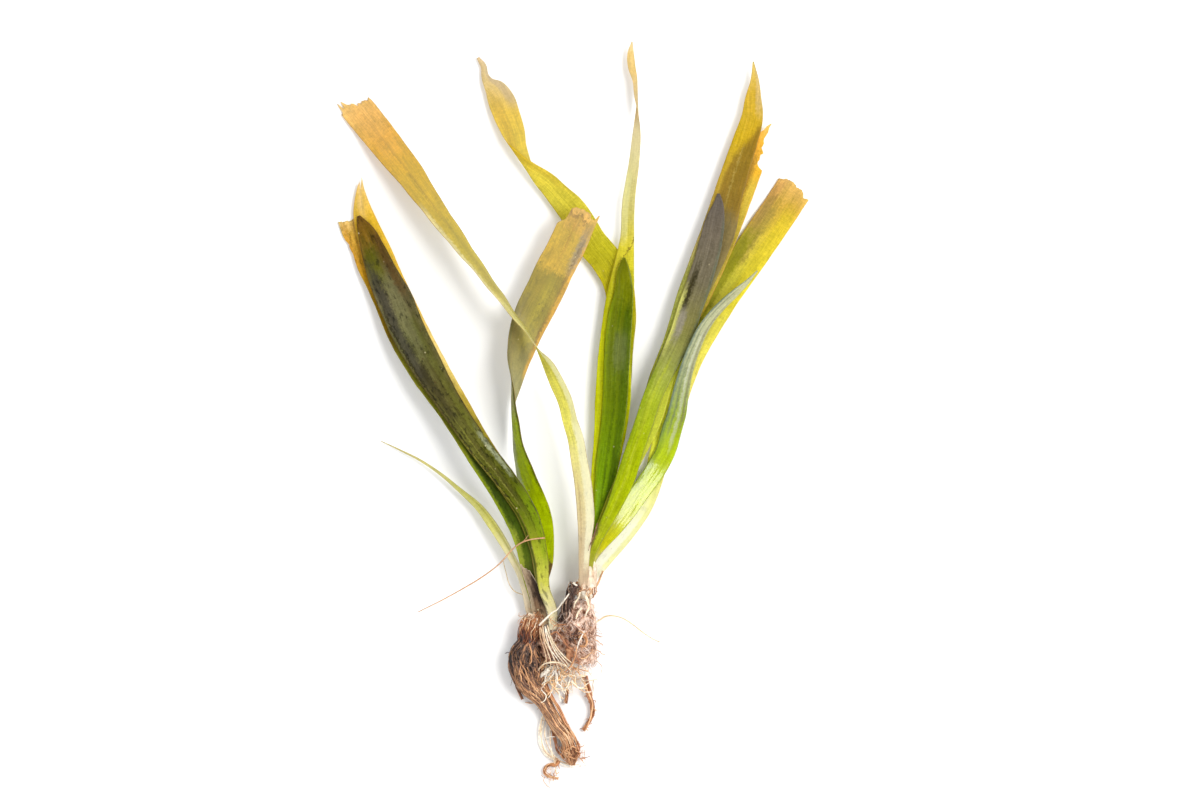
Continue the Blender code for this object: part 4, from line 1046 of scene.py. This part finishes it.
def make_leaf_material(number, name, look):
    """A wet leaf: colours down the blade, bands on it, veins and cross-veins, a margin and specks."""
    paint = Painter(name)
    blade = paint.attribute("blade")
    inset = paint.split(blade)[2]
    y, across, side = paint.split(paint.attribute("spot"))
    shift = number * 7.3
    cloud, grit, fleck, broad, fine, ladder = (
        paint.noise(paint.stretch(blade, scale, shift + offset), *settings)
        for scale, offset, *settings in LEAF_TEXTURES.values()
    )

    warp = paint.times(paint.minus(cloud, 0.5), CLOUD_WARP * look["blotch"])
    wander = paint.minus(grit, 0.5)
    y_warped = paint.plus(paint.plus(y, warp), paint.times(wander, GRIT_WARP))
    across_warped = paint.plus(across, paint.times(wander, GRIT_SWAY))
    colour = paint.ramp(y_warped, look["down"])
    for band in look["bands"]:
        start, end, left, right, shade, strength, slant = (*band, 0.0)[:7]
        soft = min(3.0, (end - start) * 0.3)
        edge = min(0.16, (right - left) * 0.35)
        place = paint.minus(y_warped, paint.times(across, slant)) if slant else y_warped
        mask = paint.step(place, start - soft, start + soft, 0.0, strength)
        mask = paint.times(mask, paint.step(place, end - soft, end + soft, 1.0, 0.0))
        mask = paint.times(mask, paint.step(across_warped, left - edge, left + edge))
        mask = paint.times(mask, paint.step(across_warped, right - edge, right + edge, 1.0, 0.0))
        colour = paint.mix(mask, colour, linear(shade))

    light = paint.step(cloud, 0.25, 0.75, 1.0 - 0.22 * look["blotch"], 1.0 + 0.16 * look["blotch"])
    veins = look["veins"]
    for texture, depth in ((broad, 0.14 * veins), (fine, 0.20 * veins), (ladder, 0.08), (grit, 0.10)):
        light = paint.times(light, paint.step(texture, 0.3, 0.7, 1.0 - depth, 1.0 + 0.6 * depth))
    pale = paint.step(paint.split(colour)[2], 0.15, 0.6, 0.0, 0.75)
    light = paint.plus(light, paint.times(pale, paint.minus(1.0, light)))
    colour = paint.scaled(colour, light)
    mottle = paint.step(fleck, 0.56, 0.64, 0.0, look["flecks"])
    colour = paint.mix(mottle, colour, paint.scaled(colour, 0.35))

    shade, width, strength = look["margin"]
    rim = paint.times(paint.step(inset, 0.0, width, strength, 0.0), paint.step(grit, 0.3, 0.6, 0.35, 1.0))
    colour = paint.mix(rim, colour, linear(shade))

    sockets = {"Vector": paint.stretch(blade, (1.0, 0.8, 0.0), shift), "Scale": SPECK_SCALE}
    distance = paint.node("ShaderNodeTexVoronoi", sockets, "Distance")
    near = paint.step(distance, 0.06, 0.16, look["specks"], 0.0)
    choice, darkness, _ = paint.split(distance.node.outputs["Color"])
    speck = paint.mix(paint.step(darkness, 0.3, 0.35), linear(PALE_SPECK), linear(DARK_SPECK))
    colour = paint.mix(paint.times(near, paint.step(choice, 0.70, 0.74)), colour, speck)
    colour = paint.mix(paint.step(side, -0.5, 0.5, 0.25, 0.0), colour, linear(LEAF_BACK))

    height = paint.times(fine, 0.6)
    for texture, share in ((broad, 1.0), (ladder, 0.35), (grit, 0.25)):
        height = paint.plus(height, paint.times(texture, share))
    sockets = {
        "Base Color": colour, "Roughness": paint.step(grit, 0.35, 0.7, 0.24, 0.44),
        "Normal": paint.bump(height, 0.5, LEAF_BUMP), "Specular IOR Level": 0.12,
        "Coat Weight": look["gloss"], "Coat Roughness": 0.12,
    }
    glow = paint.node("ShaderNodeGamma", {"Color": colour, "Gamma": 0.8})
    paint.finish(sockets, look["thin"], glow)


def make_root_material(name, thin, roughness, patch_scale, patchy, colours):
    """Root skin: a colour for each strand out of a few, with darker and lighter stretches along it."""
    paint = Painter(name)
    number = paint.split(paint.attribute("fibre"))[0]
    place = paint.place()
    grit = paint.noise(place, 1100.0, 4.0, 0.65)
    patch = paint.noise(place, patch_scale, 3.0, 0.6)
    stops = [(at / (len(colours) - 1), colour) for at, colour in enumerate(colours)]
    pick = paint.plus(paint.times(number, 0.85), paint.times(paint.minus(patch, 0.42), patchy))
    colour = paint.scaled(paint.ramp(pick, stops), paint.step(grit, 0.3, 0.7, 0.74, 1.14))
    sockets = {
        "Base Color": colour, "Roughness": roughness, "Normal": paint.bump(grit, 0.6, ROOT_BUMP),
        "Coat Weight": 0.1, "Coat Roughness": 0.3,
    }
    paint.finish(sockets, thin, colour)


def clump_surface(stations, share, angle, lift):
    """Points round a clump: at a share of its length, an angle round it, and a lift of its size."""
    x, y, z, half_width, half_height = np.moveaxis(read_curve(stations, share), -1, 0)
    forward = unit(heading(stations, share, CLUMP_REACH))
    level = level_right(forward)
    upward = np.cross(level, forward)
    closing = np.sqrt(np.maximum(0.02, 1 - np.abs(2 * np.clip(share, 0, 1) - 1) ** BLUNTNESS))
    place = np.stack([x, y, z], -1)
    place = place + level * (np.cos(angle) * half_width * closing * lift)[..., None]
    return place + upward * (np.sin(angle) * half_height * closing * lift)[..., None]


def tubes(paths, radii, sides):
    """Closed round tubes along paths (strand, joint, xyz), with a radius for each joint."""
    strands, joints = paths.shape[:2]
    forward = unit(np.gradient(paths, axis=1))
    aside = unit(np.cross(forward, unit(RARE_HEADING)))
    over = np.cross(forward, aside)
    angles = np.linspace(*ROUND, sides, endpoint=False)
    round_about = aside[:, :, None] * np.cos(angles)[:, None] + over[:, :, None] * np.sin(angles)[:, None]
    rings = paths[:, :, None] + round_about * radii[:, :, None, None]
    points = np.concatenate([rings.reshape(strands, -1, 3), paths[:, :1], paths[:, -1:]], axis=1)
    ring = np.arange(sides)
    following = np.roll(ring, -1)
    rows = np.arange(joints - 1)[:, None] * sides
    quads = np.stack([rows + ring, rows + following, rows + following + sides, rows + ring + sides], -1)
    first_cap, last_cap = joints * sides, joints * sides + 1
    last_row = (joints - 1) * sides
    starts = np.stack([following, ring, np.full(sides, first_cap)], -1)
    ends = np.stack([last_row + ring, last_row + following, np.full(sides, last_cap)], -1)
    size = points.shape[1]
    faces = []
    for first in range(0, strands * size, size):
        for part in (quads.reshape(-1, 4), starts, ends):
            faces += (part + first).tolist()
    return points.reshape(-1, 3), faces, size


def add_fibres(name, random, paths, radii, skin, replaced=(), sides=5, taper=0.35, tone=None):
    """One mesh of many thin roots along paths. Each gets a radius, and a number for its colour."""
    strands, joints = paths.shape[:2]
    thickness = random.uniform(*radii, strands)[:, None]
    along = np.linspace(0, 1, joints)
    swell = 1 + 0.18 * uneven_rows(random, strands, along, (0.08, 1.0))
    thickness = thickness * swell * (1 - taper * along**2)[None, :]
    paths = paths.copy()
    paths[..., 2] = np.maximum(paths[..., 2], thickness + ROOT_GAP)
    points, faces, size = tubes(paths, thickness, sides)
    points[:, 2] = np.maximum(points[:, 2], FLOOR_GAP)
    numbers = np.repeat(random.uniform(0, 1, strands), size)
    if tone:
        numbers = 0.8 * numbers - 0.1 + tone(points)
    shares = np.tile(np.concatenate([np.repeat(along, sides), [0, 1]]), strands)
    fibre = np.stack([numbers, shares, np.repeat(random.uniform(0, 1, strands), size)], -1)
    add_piece(name, points, faces, skin, {"fibre": fibre}, replaced)


def add_core(
    name, stations, skin, lift, lumps, seed, replaced=(), rings=40, sides=44, end=1.0, grain=1.0, tone=None,
):
    """The mass inside a clump: its form, drawn in a little, with lumps and hollows, and painted shade:
    darker colours in the hollows, lighter on the lumps.
    """
    share = np.linspace(0, end, rings)[1:-1, None]
    angle = np.linspace(*ROUND, sides, endpoint=False)[None, :]
    flat = clump_surface(stations, share, angle, lift).reshape(-1, 3)
    centre = clump_surface(stations, share, angle, 0.0).reshape(-1, 3)
    scale = np.array([0.55, 0.55 * grain, 0.55])
    push = np.array([noise.fractal(Vector(point * scale + seed), 1.0, 2.0, 4) for point in flat])
    flat = flat + unit(flat - centre) * (push * lumps)[:, None]
    ends = clump_surface(stations, np.array([0.0, end]), 0.0, 0.0)
    points = np.concatenate([flat, ends])
    points[:, 2] = np.maximum(points[:, 2], FLOOR_GAP)
    rows = rings - 2
    index = np.arange(rows * sides).reshape(rows, sides)
    following = np.roll(index, -1, axis=1)
    quads = np.stack([index[:-1], index[1:], following[1:], following[:-1]], -1).reshape(-1, 4).tolist()
    caps = [[int(a), int(b), rows * sides] for a, b in zip(index[0], following[0])]
    caps += [[int(b), int(a), rows * sides + 1] for a, b in zip(index[-1], following[-1])]
    # Painted shade: the colour follows the lumps, darker in the hollows and lighter on the bumps.
    number = (np.append(push, [0, 0]) + 1) / 2
    if tone:
        number = 0.4 * number + tone(points)
    fibre = np.stack([number, points[:, 1], number], -1)
    add_piece(name, points, quads + caps, skin, {"fibre": fibre}, replaced)


def soften(paths, rounds=2):
    """Rounds off the corners of paths and leaves their ends."""
    for _ in range(rounds):
        middle = (paths[:, :-2] + 2 * paths[:, 1:-1] + paths[:, 2:]) / 4
        paths = np.concatenate([paths[:, :1], middle, paths[:, -1:]], axis=1)
    return paths


def wrap(random, stations, count, joints, shares, drift, wobble, lifts):
    """Strands that run down a clump's surface, each with its own start, turn and looseness."""
    along = np.linspace(0, 1, joints)
    first, last = shares
    start = random.uniform(first, first + 0.25 * (last - first), count)[:, None]
    end = random.uniform(last - 0.35 * (last - first), last, count)[:, None]
    angle = random.uniform(*ROUND, count)[:, None]
    turn = random.normal(*drift, count)[:, None]
    waver = uneven_rows(random, count, along, (0.16, 1.0), (0.06, 0.7))
    loose = uneven_rows(random, count, along, (0.22, 1.0))
    lift = random.uniform(*lifts, count)[:, None] + 0.06 * loose
    share = start + (end - start) * along
    return soften(clump_surface(stations, share, angle + turn * along + wobble * waver, lift))


def scatter(random, count, centre, spread):
    """Starts in a cloud."""
    return np.array(centre) + random.normal(0, 1, (count, 3)) * np.array(spread)


def surface_spots(random, stations, count, shares, angles, lift):
    """Starts on a clump."""
    share = random.uniform(*shares, count)
    return clump_surface(stations, share, random.uniform(*angles, count), lift)


def ramble(random, start, joints, length, headings, curl):
    """Short roots that wander off from their starts with a curl of their own."""
    count = len(start)
    along = np.linspace(0, 1, joints)
    yaw = np.radians(random.uniform(*headings, count))[:, None]
    yaw = yaw + random.normal(0, curl, count)[:, None] * along
    yaw = yaw + uneven_rows(random, count, along, (0.2, 1.0)) * curl * 0.6
    pitch = uneven_rows(random, count, along, (0.3, 1.0)) * 0.6
    step = (random.uniform(*length, count) / joints)[:, None, None]
    moves = np.stack([np.cos(yaw) * np.cos(pitch), np.sin(yaw) * np.cos(pitch), np.sin(pitch)], -1) * step
    paths = start[:, None] + np.cumsum(moves, axis=1)
    paths[..., 2] = np.abs(paths[..., 2])
    return soften(paths)


def between(random, first, last, count, joints, loose):
    """Strands laid side by side from one line to another, each a little off its place."""
    along = np.linspace(0, 1, joints)
    share = ((np.arange(count) + random.uniform(0.1, 0.9, count)) / count)[:, None, None]
    sway = np.array([uneven_rows(random, 3, along, (0.3, 1.0)) for _ in range(count)]).transpose(0, 2, 1)
    return soften(read_curve(first, along) * (1 - share) + read_curve(last, along) * share + loose * sway)


def follow(random, points, count, joints, spread, twist):
    """Strands that run side by side along a line, and turn about it."""
    share = np.linspace(0, 1, joints)
    middle = read_curve(points, share)[:, :3]
    forward = unit(np.gradient(middle, axis=0))
    aside = unit(np.cross(forward, UP))
    over = np.cross(aside, forward)
    radius = spread * np.sqrt(random.uniform(0, 1, count))[:, None]
    radius = radius * (1 + 0.5 * uneven_rows(random, count, share, (0.16, 1.0)))
    angle = random.uniform(*ROUND, count)[:, None] + twist * share
    angle = angle + 0.9 * uneven_rows(random, count, share, (0.2, 1.0))
    paths = middle + aside * (np.cos(angle) * radius)[..., None] + over * (np.sin(angle) * radius)[..., None]
    return soften(paths)


def left_tone(points):
    """Dark at the top of the left clump, lighter down the cord, and with painted shade: darker low down near
    the table.
    """
    # Painted shade: points low over the table pick darker colours.
    under = np.clip((3.5 - points[:, 2]) / 9, 0, 0.2)
    return np.interp(points[:, 1] - 0.4 * (points[:, 0] + 9), *zip(*LEFT_TONES)) - under


def crown_tone(points):
    """Orange at the top of the left crown, dark where it meets the clump."""
    return np.interp(points[:, 1], *zip(*CROWN_TONES))


def right_tone(points):
    """Painted shade: dark in the hollow of the right clump, towards its middle, and darker low down near the
    table.
    """
    # Painted shade: darker towards the clump's middle and close to the table.
    away = np.hypot(points[:, 0] - 4.0, points[:, 1] - 1.6)
    under = np.clip((4.0 - points[:, 2]) / 8, 0, 0.25)
    return np.clip(away / 6, 0, 0.6) - under


def make_left_roots():
    random = np.random.default_rng(LEFT_SEED)
    body = CLUMPS["left_body"]
    clump = CLUMPS["left_root_clump"]
    add_core("left_root_core", clump, "root_dark", 0.80, 1.2, 3.0, ("left_root_clump",))
    strands = wrap(random, body, 230, 40, (0.0, 0.62), (0.4, 0.5), 0.26, (0.84, 1.06))
    add_fibres("left_root_strands", random, strands, (0.07, 0.24), "root_left", tone=left_tone)
    strands = wrap(random, body, 150, 48, (0.12, 1.0), (0.5, 0.4), 0.18, (0.3, 1.05))
    cord = ("root_bundle",)
    add_fibres("root_cord_strands", random, strands, (0.08, 0.32), "root_left", cord, tone=left_tone)
    strands = wrap(random, body, 60, 40, (0.0, 1.0), (0.5, 0.6), 0.34, (0.98, 1.16))
    add_fibres("left_root_hairs", random, strands, (0.05, 0.11), "root_left", sides=4, tone=left_tone)
    strands = wrap(random, body, 40, 16, (0.84, 1.0), (0.3, 1.0), 0.5, (0.6, 1.6))
    add_fibres("root_cord_end", random, strands, (0.08, 0.22), "root_bundle", sides=4)
    start = scatter(random, 36, (4.6, -34.4, 1.8), (1.3, 1.5, 0.6))
    strands = ramble(random, start, 12, (1.2, 3.4), (250, 390), 1.3)
    add_fibres("root_cord_tips", random, strands, (0.06, 0.15), "root_curl", sides=4)
    start = surface_spots(random, body, 60, (0.1, 0.9), ROUND, 1.0)
    strands = ramble(random, start, 10, (1.0, 3.0), (0, 360), 1.6)
    add_fibres("left_root_ends", random, strands, (0.05, 0.13), "root_left", sides=4, tone=left_tone)

    knob = CLUMPS["left_crown"]
    add_core(
        "left_crown_core", knob, "crown_knob", 0.88, 0.8, 13.0, ("left_crown",), grain=0.5, tone=crown_tone,
    )
    strands = wrap(random, knob, 140, 18, (0.0, 1.0), (0.0, 0.25), 0.14, (0.84, 1.1))
    add_fibres("left_crown_fibres", random, strands, (0.05, 0.15), "crown_knob", sides=4, tone=crown_tone)
    start = scatter(random, 70, (-7.4, 7.6, 6.4), (1.6, 0.8, 0.8))
    strands = ramble(random, start, 10, (1.0, 3.2), (220, 310), 1.1)
    add_fibres("left_crown_rim", random, strands, (0.05, 0.13), "root_collar", sides=4)
    start = scatter(random, 20, (-11.0, 6.0, 4.4), (0.6, 0.9, 0.9))
    strands = ramble(random, start, 12, (1.0, 2.6), (110, 230), 1.4)
    add_fibres("left_crown_hairs", random, strands, (0.04, 0.07), "root_fuzz", sides=4)


def make_right_roots():
    random = np.random.default_rng(RIGHT_SEED)
    clump = CLUMPS["right_root_clump"]
    add_core(
        "right_root_core", clump, "root_felt", 0.82, 1.7, 8.0, ("right_root_clump",), 52, 64, 0.72,
        tone=right_tone,
    )
    strands = wrap(random, clump, 90, 24, (0.0, 0.72), (0.0, 0.7), 0.5, (0.84, 1.02))
    add_fibres("right_root_strands", random, strands, (0.08, 0.18), "root_felt", tone=right_tone)
    start = surface_spots(random, clump, 520, (0.02, 0.78), ROUND, 0.92)
    strands = ramble(random, start, 12, (1.6, 4.6), (0, 360), 2.6)
    add_fibres("right_root_fuzz", random, strands, (0.035, 0.075), "root_fuzz", sides=4)
    start = surface_spots(random, clump, 60, (0.3, 0.74), (-0.5, 3.6), 0.98)
    strands = ramble(random, start, 14, (2.0, 6.0), (180, 360), 1.6)
    add_fibres("right_root_threads", random, strands, (0.07, 0.15), "root_curl")

    add_core("clump_brown_flake", CLUMPS["flake"], "root_flake", 0.8, 1.5, 21.0, rings=30, sides=30)
    strands = follow(random, CLUMPS["root_stub"], 14, 16, 0.5, 1.0)
    add_fibres("root_stub_strands", random, strands, (0.08, 0.2), "root_bundle", ("root_stub",))

    add_core("root_fan_bed", CLUMPS["fan_bed"], "root_felt", 0.9, 1.4, 5.0, rings=36, sides=36)
    strands = between(random, FAN_LEFT, FAN_RIGHT, 7, 28, 0.3)
    add_fibres("root_fan", random, strands, (0.16, 0.21), "root_cream")

    sheath = CLUMPS["right_crown"]
    add_core("right_crown_sheath", sheath, "crown_sheath", 0.94, 0.5, 17.0, ("right_crown",), grain=0.25)
    strands = wrap(random, sheath, 26, 12, (0.6, 1.0), (0.0, 0.3), 0.25, (0.94, 1.06))
    add_fibres("right_crown_fibres", random, strands, (0.07, 0.18), "root_bundle")
    start = surface_spots(random, sheath, 30, (0.70, 0.80), (-0.4, 3.5), 1.0)
    strands = ramble(random, start, 10, (0.6, 1.8), (0, 360), 1.8)
    add_fibres("right_crown_rim", random, strands, (0.06, 0.15), "root_bundle", sides=4)

    for name, (count, centre, spread, joints, length, headings, curl, radii, skin, sides) in NETS.items():
        strands = ramble(random, scatter(random, count, centre, spread), joints, length, headings, curl)
        add_fibres(name, random, strands, radii, skin, sides=sides)
    start = follow(random, THREADS["right_loop_root"][4], 1, 40, 0.1, 0.0)[0]
    strands = ramble(random, start, 10, (0.8, 2.4), (0, 360), 1.8)
    add_fibres("loop_root_ends", random, strands, (0.06, 0.16), "root_curl", sides=4)


def make_threads():
    random = np.random.default_rng(THREAD_SEED)
    nodes = set(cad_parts)
    for name, (skin, count, spread, radii, points) in THREADS.items():
        single = count < 4
        strands = follow(random, points, count, 44 if single else 30, spread, 1.5)
        replaced = (name,) if name in nodes else ()
        add_fibres(name + "_strands", random, strands, radii, skin, replaced, 8 if single else 5, 0.4)


def make_table():
    paint = Painter("white_table")
    grain = paint.noise(paint.place(), 40.0, 2.0, 0.5)
    shade = paint.scaled((FLOOR_WHITE,) * 3, paint.step(grain, 0.3, 0.7, 0.995, 1.005))
    paint.finish({"Base Color": shade, "Roughness": 0.7, "Specular IOR Level": 0.2})
    corners = np.array([(x * TABLE_HALF, y * TABLE_HALF, TABLE_LEVEL) for x in (-1, 1) for y in (-x, x)])
    floor = add_mesh("table", corners, [[0, 1, 2, 3]], "white_table", {})


def make_light(aim):
    elevation, azimuth = np.radians(KEY_ELEVATION), np.radians(KEY_AZIMUTH)
    level = np.cos(elevation)
    direction = Vector((level * np.cos(azimuth), level * np.sin(azimuth), np.sin(elevation)))
    light = bpy.data.lights.new("softbox", "AREA")
    light.shape = "SQUARE"
    light.size = KEY_SIZE
    light.energy = KEY_WATTS
    light.color = KEY_COLOUR
    lamp = put_in_scene("softbox", light)
    lamp.location = aim + direction * KEY_DISTANCE
    lamp.rotation_euler = direction.to_track_quat("Z", "Y").to_euler()

    world = bpy.data.worlds.new("studio")
    world.use_nodes = True
    tree = world.node_tree
    background = tree.nodes["Background"]
    background.inputs["Color"].default_value = (1.0, 1.0, 1.0, 1.0)
    around = tree.nodes.new("ShaderNodeTexCoord")
    parts = tree.nodes.new("ShaderNodeSeparateXYZ")
    fade = tree.nodes.new("ShaderNodeMapRange")
    for key, value in zip(("From Min", "From Max", "To Min", "To Max"), (*ZENITH_FADE, 1.0, ZENITH_SHARE)):
        fade.inputs[key].default_value = value
    strength = tree.nodes.new("ShaderNodeMath")
    strength.operation = "MULTIPLY"
    strength.inputs[1].default_value = SKY_STRENGTH
    for source, target in (
        (around.outputs["Generated"], parts.inputs[0]), (parts.outputs[2], fade.inputs["Value"]),
        (fade.outputs[0], strength.inputs[0]), (strength.outputs[0], background.inputs["Strength"]),
    ):
        tree.links.new(source, target)
    bpy.context.scene.world = world


def make_camera(aim):
    view = bpy.data.cameras.new("camera")
    view.lens = LENS
    view.sensor_width = SENSOR
    camera = put_in_scene("camera", view)
    camera.location = (aim[0], aim[1], FRAME_WIDTH * LENS / SENSOR)
    bpy.context.scene.camera = camera
    bpy.context.scene.view_settings.view_transform = "Standard"


middle = Vector((np.array([*VIEW_CENTRE, 0.0]) - REST_POINT) * MM)
make_table()
make_light(middle)
make_camera(middle)
for number, (node, leaf) in enumerate(LEAVES.items()):
    make_leaf_material(number, node, {**PLAIN_LOOK, **LOOKS[node]})
    make_leaf(number, node, leaf)
for skin, settings in SKINS.items():
    make_root_material(skin, *settings)
make_left_roots()
make_right_roots()
make_threads()

bpy.context.view_layer.update()
